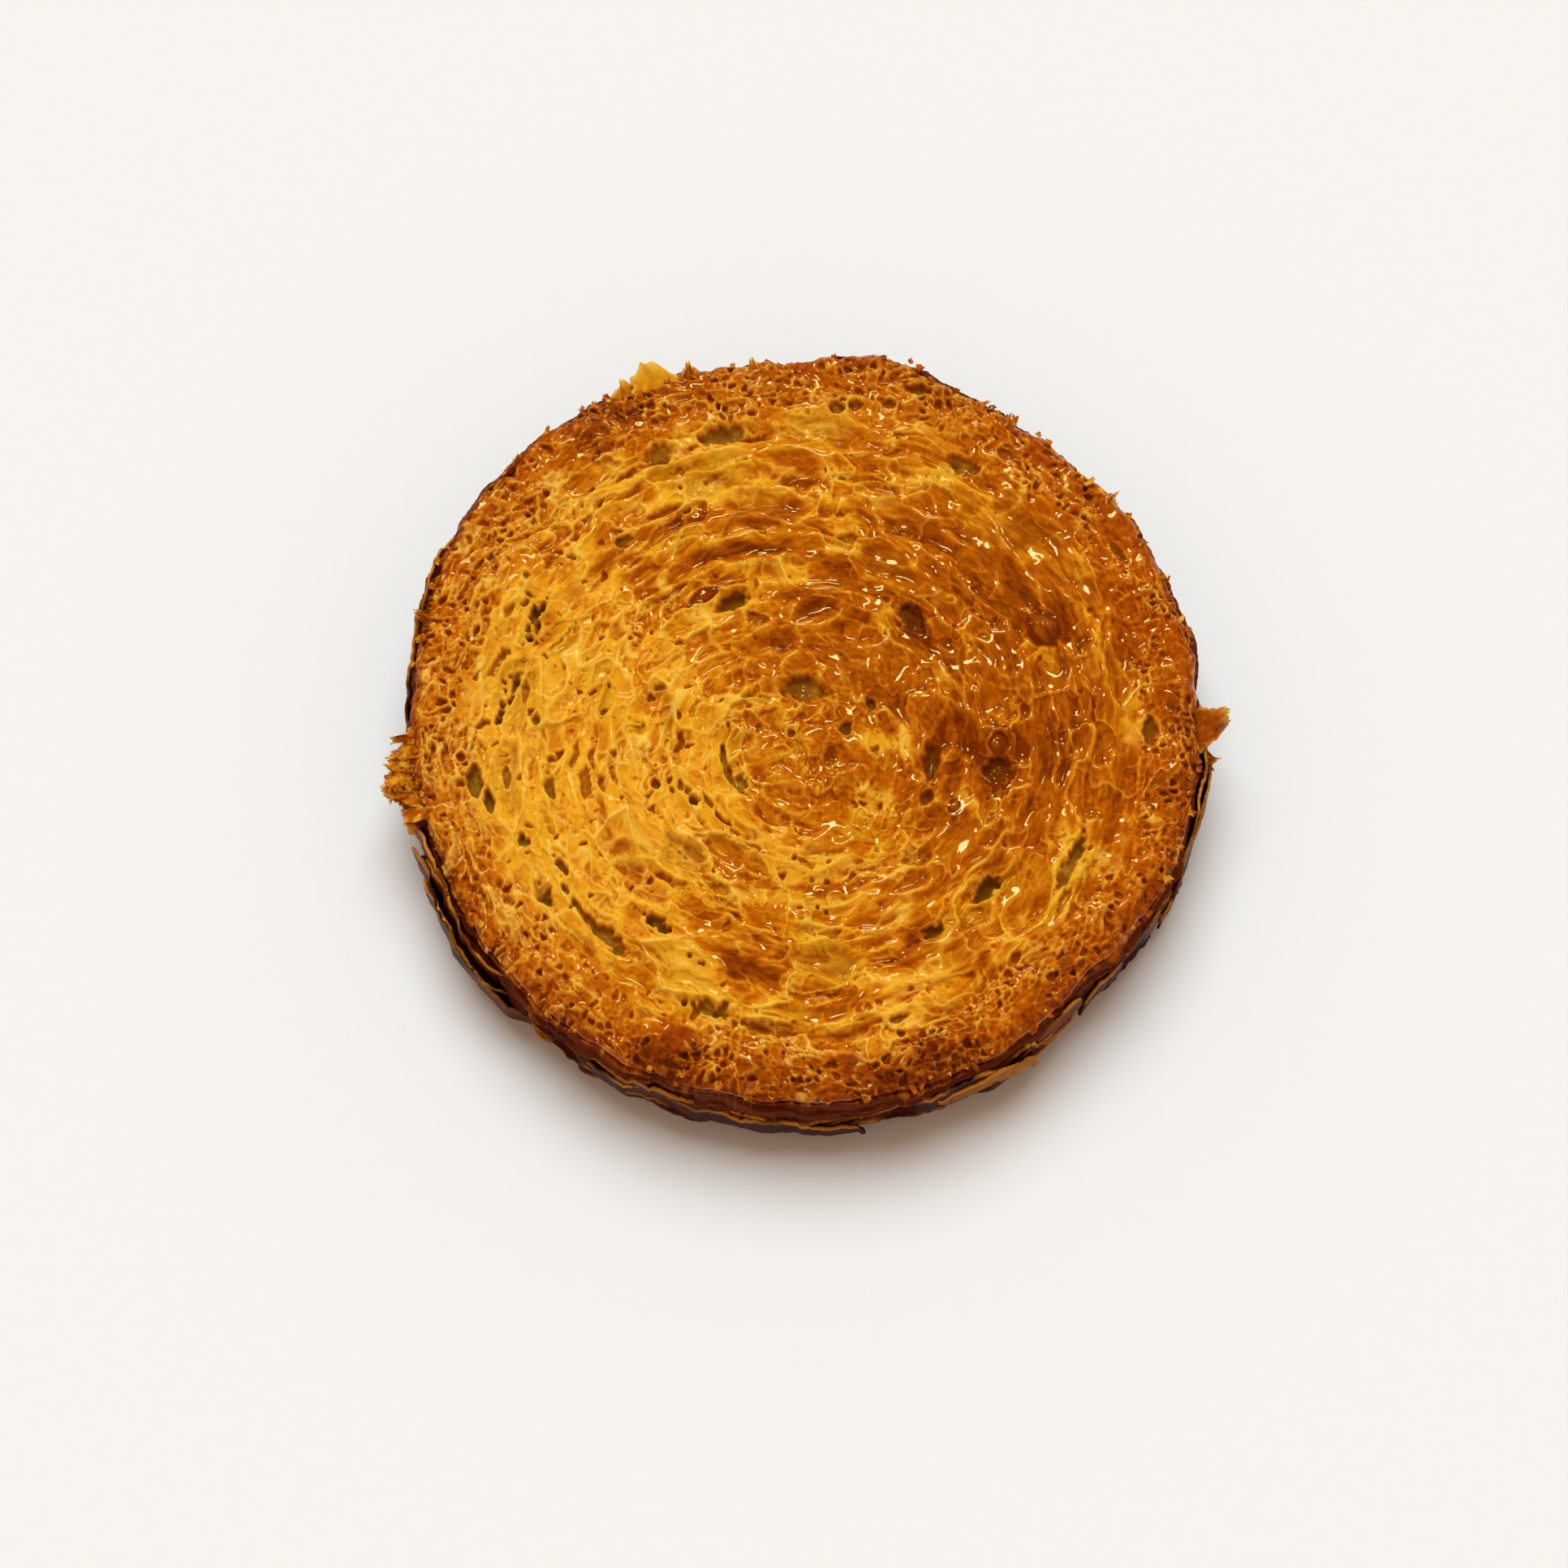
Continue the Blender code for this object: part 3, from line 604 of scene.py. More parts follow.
def spun_shell(outline, segments, closed, corners=()):
    """A shell turned round the Z axis from its outline, a row of distances out and heights.

    One wedge is turned first, and the others are copies of it. The edges at corners stay sharp.
    """
    bm = bmesh.new()
    points = [bm.verts.new((out, 0.0, up)) for out, up in outline]
    edges = [bm.edges.new(pair) for pair in zip(points, points[1:])]
    if closed:
        edges.append(bm.edges.new((points[-1], points[0])))
    wedge = TURN / WEDGES
    turning = {"axis": (0, 0, 1), "cent": (0, 0, 0)}
    bmesh.ops.spin(bm, geom=points + edges, angle=wedge, steps=segments // WEDGES, **turning)
    whole = bm.verts[:] + bm.edges[:] + bm.faces[:]
    bmesh.ops.spin(bm, geom=whole, angle=TURN - wedge, steps=WEDGES - 1, use_duplicate=True, **turning)
    bmesh.ops.remove_doubles(bm, verts=bm.verts, dist=1e-6)
    bmesh.ops.recalc_face_normals(bm, faces=bm.faces)
    for edge in bm.edges:
        first, last = ((math.hypot(vert.co.x, vert.co.y), vert.co.z) for vert in edge.verts)
        if any(math.dist(first, corner) < 1e-5 and math.dist(last, corner) < 1e-5 for corner in corners):
            edge.smooth = False
    return bm


def new_piece(name, bm, material, place=None):
    """Makes the object. place gives each point's x, y and z in mm and the numbers that its finish reads."""
    mesh = bpy.data.meshes.new(name)
    bm.to_mesh(mesh)
    bm.free()
    if place:
        points = np.empty(3 * len(mesh.vertices))
        mesh.vertices.foreach_get("co", points)
        x, y, z, facts = place(*points.reshape(-1, 3).T)
        mesh.vertices.foreach_set("co", (np.stack((x, y, z), axis=1) * MM).ravel())
        for label, values in facts.items():
            kind, key = ("FLOAT_VECTOR", "vector") if values.ndim == 2 else ("FLOAT", "value")
            numbers = mesh.attributes.new(label, kind, "POINT")
            numbers.data.foreach_set(key, values.astype(np.float32).ravel())
    for face in mesh.polygons:
        face.use_smooth = True
    mesh.materials.append(material)
    piece = bpy.data.objects.new(name, mesh)
    bpy.context.scene.collection.objects.link(piece)
    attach(piece, "root")
    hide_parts("croissant_disc")
    return piece


def put(tree, kind, inputs=(), **settings):
    """Adds a node. Its inputs are numbers, colours or other nodes' outputs."""
    made = tree.nodes.new("ShaderNode" + kind)
    for key, value in settings.items():
        setattr(made, key, value)
    for key, value in dict(inputs).items():
        if isinstance(value, bpy.types.NodeSocket):
            tree.links.new(value, made.inputs[key])
        else:
            made.inputs[key].default_value = value
    return made


def fact(tree, name):
    return put(tree, "Attribute", attribute_name=name).outputs["Fac"]


def tint(tree, share, under, over):
    """One colour laid over another."""
    return put(tree, "Mix", {0: share, 6: under, 7: over}, data_type="RGBA").outputs[2]


def fit(tree, value, low, high, to_low=0.0, to_high=1.0):
    """A number moved from one range to another, held at the ends."""
    inputs = {"Value": value, "From Min": low, "From Max": high, "To Min": to_low, "To Max": to_high}
    return put(tree, "MapRange", inputs).outputs["Result"]


def count(tree, how, first, second=0.0):
    return put(tree, "Math", {0: first, 1: second}, operation=how).outputs[0]


def speckle(tree, place, size, detail=2.0, roughness=0.55):
    """Noise from 0 to 1 with lumps of a size in mm."""
    inputs = {"Vector": place, "Scale": 1 / (size * MM), "Detail": detail, "Roughness": roughness}
    return put(tree, "TexNoise", inputs).outputs["Fac"]


def rolled_place(tree, place, wrap):
    """A place measured along and across the layers, so that noise on it makes fibres along them."""
    middle = (-ROLL_CENTRE[0] * MM, -ROLL_CENTRE[1] * MM, 0)
    centred = put(tree, "Mapping", {"Vector": place, "Location": middle})
    flat = put(tree, "VectorMath", {0: centred.outputs[0], 1: (1, 1, 0)}, operation="MULTIPLY").outputs[0]
    out = put(tree, "VectorMath", {0: flat}, operation="LENGTH").outputs["Value"]
    way = put(tree, "VectorMath", {0: flat}, operation="NORMALIZE").outputs[0]
    ring = put(tree, "VectorMath", {0: way, "Scale": wrap * MM}, operation="SCALE").outputs[0]
    rise = put(tree, "CombineXYZ", {"Z": out}).outputs[0]
    return put(tree, "VectorMath", {0: ring, 1: rise}, operation="ADD").outputs[0]


def gold(red, green, blue):
    """A colour as the eye reads it, 0 to 255, in the shader's own light."""
    parts = [value / 255 for value in (red, green, blue)]
    return (*(p / 12.92 if p <= 0.04045 else ((p + 0.055) / 1.055) ** 2.4 for p in parts), 1.0)


def coats(tree, colour, rows):
    """Lays one colour after the other over the first. A row is how much of it shows, and its colour."""
    for share, over in rows:
        colour = tint(tree, share, colour, gold(*over))
    return colour


def crumb_finish(name):
    """Golden crumb: pale webs, orange caramel that shines, a brown crust, painted shade in the hollows and
    crevices, olive painted shade in the holes, and painted highlight on the crests.
    """
    material = bpy.data.materials.new(name)
    material.use_nodes = True
    tree = material.node_tree
    shader = tree.nodes["Principled BSDF"]
    place = put(tree, "TexCoord").outputs["Object"]
    fibres = speckle(tree, rolled_place(tree, place, 9.0), 0.55, 3.0)
    hair = speckle(tree, rolled_place(tree, place, 14.0), 0.3, 2.0)
    broad = speckle(tree, place, 5.0, 3.0)
    mottle = speckle(tree, place, 1.1, 3.0)
    soaked, brown, hollow, web, pit = (fact(tree, part) for part in ("sugar", "brown", "hollow", "web", "pit"))
    tone, rim, crevice_shade, crest_highlight = (fact(tree, part) for part in ("tone", "rim", "crevice_shade", "crest_highlight"))

    colour = tint(tree, fit(tree, mottle, 0.35, 0.68), gold(231, 142, 6), gold(247, 176, 28))
    colour = coats(tree, colour, (
        (fit(tree, broad, 0.35, 0.7, 0.0, 0.6), (212, 112, 1)),
        (fit(tree, fibres, 0.42, 0.72, 0.0, 0.45), (248, 182, 26)),
        (fit(tree, hair, 0.46, 0.66, 0.0, 0.48), (192, 86, 0)),
        (fit(tree, soaked, 0.0, 0.3, 0.4, 0.0), (252, 184, 46)),
        (fit(tree, tone, 0.1, 0.9, 0.0, 0.7), (208, 156, 22)),
        (fit(tree, tone, -0.9, -0.1, 0.45, 0.0), (220, 108, 1)),
        # painted shade: a darker orange, deeper in the hollows
        (fit(tree, hollow, 0.25, 1.0, 0.0, 0.6), (180, 94, 1)),
    ))
    rim_colour = tint(tree, fit(tree, mottle, 0.35, 0.7), gold(182, 74, 2), gold(212, 108, 6))
    colour = tint(tree, count(tree, "MULTIPLY", rim, 0.75), colour, rim_colour)
    # Painted shade in the crevices, darkest in the rim's, and painted highlight on the crests, also in the
    # webs
    rim_crevice_shade = count(tree, "MULTIPLY", rim, fit(tree, crevice_shade, 0.1, 0.6))
    colour = coats(tree, colour, (
        (count(tree, "MULTIPLY", rim_crevice_shade, 0.7), (112, 42, 4)),
        (fit(tree, crest_highlight, 0.05, 0.6, 0.0, 0.4), (254, 192, 40)),
        (count(tree, "MULTIPLY", web, fit(tree, soaked, 0.05, 0.45, 0.75, 0.2)), (255, 208, 84)),
        (fit(tree, crevice_shade, 0.1, 0.9, 0.0, 0.6), (170, 78, 0)),
    ))

    # Soaked dough is orange, then brown, in streaks along the layers, and the baked rim is browner still.
    # Painted shade deepens the streaks in the crevices, and painted highlight pales them on crests and webs.
    streaky = count(tree, "ADD", soaked, fit(tree, fibres, 0.3, 0.75, -0.22, 0.22))
    streaky = count(tree, "ADD", streaky, fit(tree, crevice_shade, 0.0, 0.6, 0.0, 0.24))
    streaky = count(tree, "SUBTRACT", streaky, fit(tree, crest_highlight, 0.0, 0.5, 0.0, 0.14))
    streaky = count(tree, "SUBTRACT", streaky, count(tree, "MULTIPLY", web, 0.22))
    streaky = count(tree, "SUBTRACT", streaky, fit(tree, tone, -1.0, 1.0, -0.22, 0.22))
    colour = coats(tree, colour, (
        (fit(tree, streaky, 0.12, 0.55, 0.0, 0.8), (190, 84, 0)),
        (fit(tree, streaky, 0.5, 1.0, 0.0, 0.85), (112, 30, 0)),
    ))
    # Darker where soaked and deep: thicker caramel in the hollows, and painted shade
    deep_caramel_and_shade = count(tree, "MULTIPLY", soaked, hollow)
    colour = tint(tree, fit(tree, deep_caramel_and_shade, 0.2, 0.7, 0.0, 0.75), colour, gold(84, 18, 0))
    # Painted shade darkens the baked brown in the crevices, and painted highlight pales it on the crests and
    # webs
    baked = count(tree, "ADD", brown, fit(tree, mottle, 0.3, 0.7, 0.16, -0.16))
    baked = count(tree, "SUBTRACT", baked, count(tree, "MULTIPLY", web, 0.22))
    baked = count(tree, "SUBTRACT", baked, fit(tree, crest_highlight, 0.05, 0.5, 0.0, 0.2))
    baked = count(tree, "ADD", baked, fit(tree, crevice_shade, 0.1, 0.6, 0.0, 0.15))
    colour = coats(tree, colour, (
        (fit(tree, baked, 0.08, 0.5, 0.0, 0.8), (170, 72, 4)),
        (fit(tree, baked, 0.45, 0.9, 0.0, 0.88), (84, 26, 5)),
    ))
    # Painted shade in the holes and pores: an olive darkening of the gold, browner where soaked
    pit_shade = tint(tree, soaked, gold(150, 110, 26), gold(120, 54, 1))
    colour = tint(tree, fit(tree, pit, 0.3, 1.0, 0.0, 0.75), colour, pit_shade)
    tree.links.new(colour, shader.inputs["Base Color"])

    dull = tint(tree, fit(tree, soaked, 0.15, 0.5), (0.62, 0.62, 0.62, 1), (0.45, 0.45, 0.45, 1))
    tree.links.new(dull, shader.inputs["Roughness"])
    wet = count(tree, "ADD", soaked, fit(tree, broad, 0.3, 0.7, -0.18, 0.18))
    unbaked = fit(tree, brown, 0.6, 0.8, 1.0, 0.15)
    coated = count(tree, "MULTIPLY", fit(tree, wet, 0.0, 0.5, 0.3, 1.0), unbaked)
    tree.links.new(coated, shader.inputs["Coat Weight"])
    shader.inputs["Coat Roughness"].default_value = 0.04
    shader.inputs["Coat IOR"].default_value = 1.55
    shader.inputs["Specular IOR Level"].default_value = 0.03
    shader.inputs["Subsurface Weight"].default_value = 0.3
    shader.inputs["Subsurface Radius"].default_value = (1.0, 0.5, 0.08)
    shader.inputs["Subsurface Scale"].default_value = 0.45 * MM

    # The coat faces the way that the caramel's own smooth skin does, where there is one
    glaze = put(tree, "Attribute", attribute_name="glaze").outputs["Vector"]
    whole = put(tree, "VectorMath", {0: glaze}, operation="LENGTH").outputs["Value"]
    bare = count(tree, "SUBTRACT", 1.0, whole)
    facing = put(tree, "NewGeometry").outputs["Normal"]
    unglazed = put(tree, "VectorMath", {0: facing, "Scale": bare}, operation="SCALE").outputs[0]
    both = put(tree, "VectorMath", {0: glaze, 1: unglazed}, operation="ADD").outputs[0]
    coat_way = put(tree, "VectorMath", {0: both}, operation="NORMALIZE").outputs[0]
    tree.links.new(coat_way, shader.inputs["Coat Normal"])
    ripple = count(tree, "ADD", fibres, count(tree, "MULTIPLY", mottle, 0.4))
    bump = put(tree, "Bump", {"Strength": 0.5, "Distance": 0.14 * MM, "Height": ripple})
    tree.links.new(bump.outputs[0], shader.inputs["Normal"])
    return material


crumb = crumb_finish("golden_crumb")

# Rings of the cut face: name, from and to as shares of the way out, and segments round
FACE_RINGS = (
    ("crumb_heart", 0.0, 0.33, 700),
    ("crumb_inner_turns", 0.33, 0.50, 1300),
    ("crumb_middle_turns", 0.50, 0.66, 1700),
    ("crumb_outer_turns", 0.66, 0.81, 2000),
)


def face_outline(start, end):
    """A ring's outline: its cut face at height 1 and its hidden sides down to height 0."""
    steps = round((end - start) * RIM_RADIUS / DENSITY)
    face = [(start + (end - start) * i / steps, 1.0) for i in range(steps + 1)]
    return face + [(end, 0.0), (start, 0.0)]


upper_maps = crevice_maps(SEED, HOLES, CARAMEL_DOMES)


def place_on_face(x, y, z):
    share = np.hypot(x, y)
    out_x, out_y, relief, facts = cut_face(share, np.arctan2(y, x))
    relief = add_crevices(upper_maps, out_x, out_y, relief, facts)
    return out_x, out_y, np.where(z > 0.5, THICKNESS + relief, CAVITY), facts


for name, start, end, segments in FACE_RINGS:
    shell = spun_shell(face_outline(start, end), segments, start > 0, ((start, 1.0), (end, 1.0)))
    new_piece(name, shell, crumb, place_on_face)

# ---------------------------------------------------------------------------------------------------------
# The browned rim and the wall. The outer layers of the roll are crust on their outer side, so the rim turns
# down into a wall of thin dark skins, one behind the other, crumpled and blistered by the heat.

WALL_BULGE = 0.5
CURL_SHARE = 0.3
CURL_UNDER = 3.2
WALL_SKIN_HEIGHT = 2.6
SHOULDER_START = 0.92  # of the radius, where the rim's inner part ends
SHOULDER_ROUND = 1.3
RIM_FOOT = 10.5  # the height where the rim's own piece ends on the wall
SKIN_STEP = 0.45  # how far one skin of the wall stands out over the next
WALL_ROW = 0.2  # from one row of the wall's mesh to the next
RIM_SEGMENTS = 2200
SHOULDER_SEGMENTS = 1800
WALL_SEGMENTS = 1400


def wall_offset(share):
    curl = np.maximum(0.0, 1 - share / CURL_SHARE)
    return WALL_BULGE * np.sin(math.pi * np.clip(share, 0, 1) ** 0.85) - CURL_UNDER * curl ** 2


def wall_relief(angle, height):
    """How far the wall stands out of its even curve, and what its finish needs to know."""
    x = RIM_RADIUS * np.cos(angle)
    y = RIM_RADIUS * np.sin(angle)
    fade = smooth_step(0.0, 5.0, height)
    crumple = 0.9 * rough_grain(8.0, 401, x, y, 2.5 * height)
    bands = height / WALL_SKIN_HEIGHT + 0.9 * rough_grain(11.0, 404, x, y, height)
    skin = np.mod(bands, 1.0)
    step = SKIN_STEP * (smooth_step(0.0, 0.9, skin) - smooth_step(0.92, 1.0, skin)) - 0.5 * SKIN_STEP
    wrinkle = 0.12 * rough_grain(1.2, 407, x, y, 0.4 * height) + 0.07 * grain(0.5, 410, x, y, 0.5 * height)
    blister = 0.35 * smooth_step(0.15, 0.6, grain(3.2, 412, x, y, 1.6 * height))
    relief = fade * (crumple + step + wrinkle + blister)
    # edge marks each skin's lip for a painted highlight, gap the seam under it for a painted red glow in its
    # shade
    facts = {
        "edge": hump(skin - 0.9, 0.05) * smooth_step(-0.3, 0.3, grain(6.0, 413, x, y, height)),
        "gap": hump(np.mod(skin + 0.5, 1.0) - 0.5, 0.05),
    }
    return relief, facts


def shoulder_outline():
    """The rim's rounded shoulder and the upper wall. Height says how far along it a point is."""
    steps = round((1 - SHOULDER_START) * RIM_RADIUS / DENSITY)
    face = [(SHOULDER_START + (1 - SHOULDER_START) * i / steps, 1.0) for i in range(steps)]
    rows = round((THICKNESS - RIM_FOOT) / WALL_ROW)
    wall = [(1.0, 1.0 - 0.5 * i / rows) for i in range(rows + 1)]
    return face + wall + [(SHOULDER_START + 0.02, 0.0)]


def place_on_rim(x, y, z):
    share = np.hypot(x, y)
    angle = np.arctan2(y, x)
    out_x, out_y, relief, facts = cut_face(np.minimum(share, 1.0), angle)
    relief = add_crevices(upper_maps, out_x, out_y, relief, facts)
    down = np.clip((1.0 - z) / 0.5, 0.0, 1.0) * (THICKNESS - RIM_FOOT)
    on_wall = share > 1.0 - 1e-6
    height = THICKNESS - np.where(on_wall, down, 0.0)
    near_rim = np.clip((1 - share) * RIM_RADIUS, 0.0, None)
    roll = np.clip((SHOULDER_ROUND - np.where(on_wall, 0.0, near_rim)) / SHOULDER_ROUND, 0, 1)
    over = SHOULDER_ROUND * (1 - np.sqrt(np.clip(1 - roll ** 2, 0, 1)))
    tuck = SHOULDER_ROUND * (1 - np.sqrt(np.clip(1 - np.clip(1 - down / SHOULDER_ROUND, 0, 1) ** 2, 0, 1)))
    side, side_facts = wall_relief(angle, height)
    turned = smooth_step(0.0, 2.5, down) * on_wall
    flat = 1 - smooth_step(0.0, 2.0, down) * on_wall
    drop = SHOULDER_DROP * smooth_step(SHOULDER_SHARE, 1.0, share)
    top = THICKNESS - drop - over * ~on_wall + relief * flat
    beside = height - drop * (1 - down / (THICKNESS - RIM_FOOT)) - SHOULDER_ROUND * flat + relief * flat
    z_out = np.where(on_wall, beside, top)
    bulge = (wall_offset(height / THICKNESS) + side) * turned
    push = np.where(on_wall, bulge - 0.35 * tuck + 0.35 * relief * (1 - turned), 0.0)
    way = np.hypot(out_x, out_y)
    x_out = out_x * (1 + push / np.maximum(way, 1e-3))
    y_out = out_y * (1 + push / np.maximum(way, 1e-3))
    z_out = np.where(z < 0.25, CAVITY, z_out)
    facts["brown"] = np.maximum(facts["brown"], 0.8 * turned + 0.3 * smooth_step(0.0, 1.5, down) * on_wall)
    facts["glaze"] = facts["glaze"] * ((1 - roll) * ~on_wall)[:, None]
    facts["sugar"] = facts["sugar"] * (1 - 0.8 * turned)
    # The wall's painted edge highlight and painted gap glow, where the rim turns down
    facts["edge"] = side_facts["edge"] * turned
    facts["gap"] = side_facts["gap"] * turned
    return x_out, y_out, z_out, facts


rim_start = FACE_RINGS[-1][2]
rim_corners = ((rim_start, 1.0), (SHOULDER_START, 1.0))
rim_shell = spun_shell(face_outline(rim_start, SHOULDER_START), RIM_SEGMENTS, True, rim_corners)
new_piece("browned_rim", rim_shell, crumb, place_on_face)
shoulder_shell = spun_shell(shoulder_outline(), SHOULDER_SEGMENTS, True, ((SHOULDER_START, 1.0), (1.0, 0.5)))
new_piece("rim_shoulder", shoulder_shell, crumb, place_on_rim)


def wall_outline():
    """The wall below the rim, from its seam down to where it curls in under the slice. Height is 1 to 0."""
    rows = round(RIM_FOOT / WALL_ROW)
    return [(1.0, 1.0 - i / rows) for i in range(rows + 1)] + [(0.7, 0.0), (0.7, 1.0)]


def place_on_wall(x, y, z):
    angle = np.arctan2(y, x)
    height = z * RIM_FOOT
    side, facts = wall_relief(angle, height)
    x_face, y_face = face_place(np.ones(x.shape), angle)
    out = np.hypot(x_face, y_face) + wall_offset(height / THICKNESS) + side
    hidden = np.hypot(x, y) < 0.9
    out = np.where(hidden, out - 5.0, out)
    facts["brown"] = 0.85 + 0.15 * grain(6.0, 420, x_face, y_face, height)
    return out * np.cos(angle), out * np.sin(angle), np.where(hidden, 0.4 + 0.92 * height, height), facts


def crust_finish(name):
    """Dark crust: red-brown skins, with thin golden edges where they have torn, a painted highlight where
    light catches them, and a painted red glow that lightens the shaded gaps.
    """
    material = bpy.data.materials.new(name)
    material.use_nodes = True
    tree = material.node_tree
    shader = tree.nodes["Principled BSDF"]
    place = put(tree, "TexCoord").outputs["Object"]
    upright = put(tree, "Mapping", {"Vector": place, "Scale": (1.0, 1.0, 0.35)}).outputs[0]
    fibres = speckle(tree, upright, 0.7, 4.0)
    broad = speckle(tree, place, 4.5, 3.0)
    dust = speckle(tree, place, 0.3, 2.0)
    edge, gap, brown = (fact(tree, part) for part in ("edge", "gap", "brown"))
    colour = tint(tree, fit(tree, broad, 0.35, 0.65), gold(36, 9, 2), gold(62, 20, 5))
    colour = coats(tree, colour, (
        (fit(tree, fibres, 0.45, 0.75, 0.0, 0.6), (84, 34, 9)),
        (fit(tree, brown, 0.45, 0.8, 0.6, 0.0), (160, 78, 12)),
    ))
    golden = count(tree, "MULTIPLY", fact(tree, "golden"), fit(tree, fibres, 0.3, 0.65, 0.95, 0.35))
    # A painted red glow lightens the shaded gaps, and a painted golden highlight lies along the upper edges
    colour = coats(tree, colour, (
        (golden, (178, 118, 10)),
        (count(tree, "MULTIPLY", gap, 0.8), (112, 28, 5)),
        (count(tree, "MULTIPLY", edge, 0.85), (222, 142, 44)),
    ))
    tree.links.new(colour, shader.inputs["Base Color"])
    tree.links.new(fit(tree, broad, 0.3, 0.7, 0.32, 0.5), shader.inputs["Roughness"])
    tree.links.new(fit(tree, fibres, 0.3, 0.7, 0.04, 0.01), shader.inputs["Coat Weight"])
    shader.inputs["Coat Roughness"].default_value = 0.15
    shader.inputs["Specular IOR Level"].default_value = 0.03
    shader.inputs["Subsurface Weight"].default_value = 0.1
    shader.inputs["Subsurface Radius"].default_value = (1.0, 0.35, 0.1)
    shader.inputs["Subsurface Scale"].default_value = 0.5 * MM
    ripple = count(tree, "ADD", fibres, count(tree, "MULTIPLY", dust, 0.3))
    bump = put(tree, "Bump", {"Strength": 0.6, "Distance": 0.18 * MM, "Height": ripple})
    tree.links.new(bump.outputs[0], shader.inputs["Normal"])
    return material


crust = crust_finish("dark_crust")
new_piece("wall_skins", spun_shell(wall_outline(), WALL_SEGMENTS, True), crust, place_on_wall)

# ---------------------------------------------------------------------------------------------------------
# The underside. It baked on the tray in melted sugar: the layers are pressed flat where they stood on it, and
# the hollows between them are shallow, brown and glazed.

UNDER_LID = 3.0
UNDER_HOLLOW = 1.3
UNDER_STEP = 0.3  # from one ring of the underside's mesh to the next
UNDER_SEGMENTS = 560
UNDER_SEED = SEED + 500


def place_under(x, y, z):
    share = np.hypot(x, y)
    angle = np.arctan2(y, x)
    x_face, y_face, relief, facts = cut_face(share, angle, UNDER_SEED, (), ())
    relief = add_crevices(under_maps, x_face, y_face, relief, facts)
    shrink = 1 - share * (CURL_UNDER - 0.4) / RIM_RADIUS
    height = np.clip(-relief - 0.45, 0.0, UNDER_HOLLOW) * (1 - smooth_step(0.95, 1.0, share))
    pressed = 1 - smooth_step(0.0, 0.12, height)
    glazed = 0.45 + 0.35 * facts["sugar"] + 0.2 * pressed + 0.2 * grain(5.0, 530, x_face, y_face)
    facts["sugar"] = np.clip(glazed, 0, 1)
    facts["brown"] = np.clip(0.25 + 0.6 * facts["brown"] + 0.25 * pressed, 0, 1)
    del facts["glaze"]
    return x_face * shrink, y_face * shrink, np.where(z > 0.5, UNDER_LID, height), facts


under_maps = crevice_maps(UNDER_SEED, (), ())
under_steps = round(RIM_RADIUS / UNDER_STEP)
under_outline = [(i / under_steps, 0.0) for i in range(under_steps + 1)] + [(1.0, 1.0), (0.0, 1.0)]
new_piece("underside", spun_shell(under_outline, UNDER_SEGMENTS, False), crumb, place_under)

# ---------------------------------------------------------------------------------------------------------
# The peeled skins. The crust's outermost sheets have dried and come away from the wall: thin bent strips,
# still rooted at their foot and at one end, with a torn upper edge in painted golden highlight and a dark
# gap behind, lightened by a painted red glow.

SKIN_THICKNESS = 0.32
SKIN_ROOT = 1.0
SKIN_COLUMN = 0.28  # from one column of a skin's mesh to the next
SKIN_ROWS = 26
# First and last angle (the last is the free end), foot, head at each end, distance out at each end, the most
# that it stands off the wall (mm), and how brown it is
SKINS = (
    ("long_skin", -127, -82, 1.0, 10.6, 8.8, 50.3, 50.4, 1.2, 0.85),
    ("long_skin_inner", -124, -88, 2.0, 11.8, 10.2, 49.6, 49.8, 0.8, 0.70),
    ("long_skin_tip", -99, -84, 1.6, 6.6, 5.8, 49.6, 49.8, 0.8, 0.85),
    ("leaf_skin", -75, -56, 2.2, 8.6, 12.2, 50.3, 50.7, 0.8, 0.38),
    ("leaf_skin_inner", -76, -60, 2.0, 10.6, 12.6, 49.7, 49.8, 0.5, 0.80),
    ("spur_skin", -57, -47, 6.0, 12.0, 13.6, 48.8, 48.9, 0.4, 0.60),
    ("lower_left_skin", -134, -163, 1.2, 9.4, 12.8, 50.4, 51.8, 1.8, 0.70),
    ("lower_left_fold", -136, -159, 5.0, 12.4, 14.6, 49.6, 50.8, 0.9, 0.62),
    ("lower_left_outer", -130, -158, 1.0, 8.8, 12.6, 50.6, 52.0, 2.0, 0.66),
    ("lower_left_curl", -146, -164, 6.0, 13.6, 15.0, 49.4, 50.4, 0.7, 0.55),
    ("left_skin", -164, -176, 1.6, 12.0, 13.0, 50.4, 50.6, 0.8, 0.80),
    ("right_skin", 6, -28, 1.2, 14.6, 8.5, 51.0, 50.0, 1.1, 0.75),
    ("right_skin_inner", 4, -26, 3.0, 15.2, 12.0, 50.4, 49.8, 0.6, 0.70),
    ("lower_right_skin", -26, -46, 2.4, 11.4, 10.4, 49.4, 48.9, 0.4, 0.80),
    ("upper_left_skin", 143, 178, 1.6, 13.4, 14.4, 50.5, 50.4, 0.4, 0.60),
    ("upper_left_inner", 147, 173, 3.0, 14.6, 15.0, 49.8, 49.8, 0.2, 0.55),
    ("back_skin", 128, 88, 1.6, 12.0, 9.0, 50.7, 50.8, 1.0, 0.80),
    ("back_skin_inner", 122, 84, 2.0, 13.4, 11.4, 50.0, 50.2, 0.8, 0.75),
    ("back_right_skin", 34, 76, 1.2, 10.4, 12.0, 50.0, 50.4, 0.8, 0.80),
    ("back_right_outer", 46, 84, 0.8, 8.0, 9.0, 50.4, 50.7, 1.0, 0.85),
)


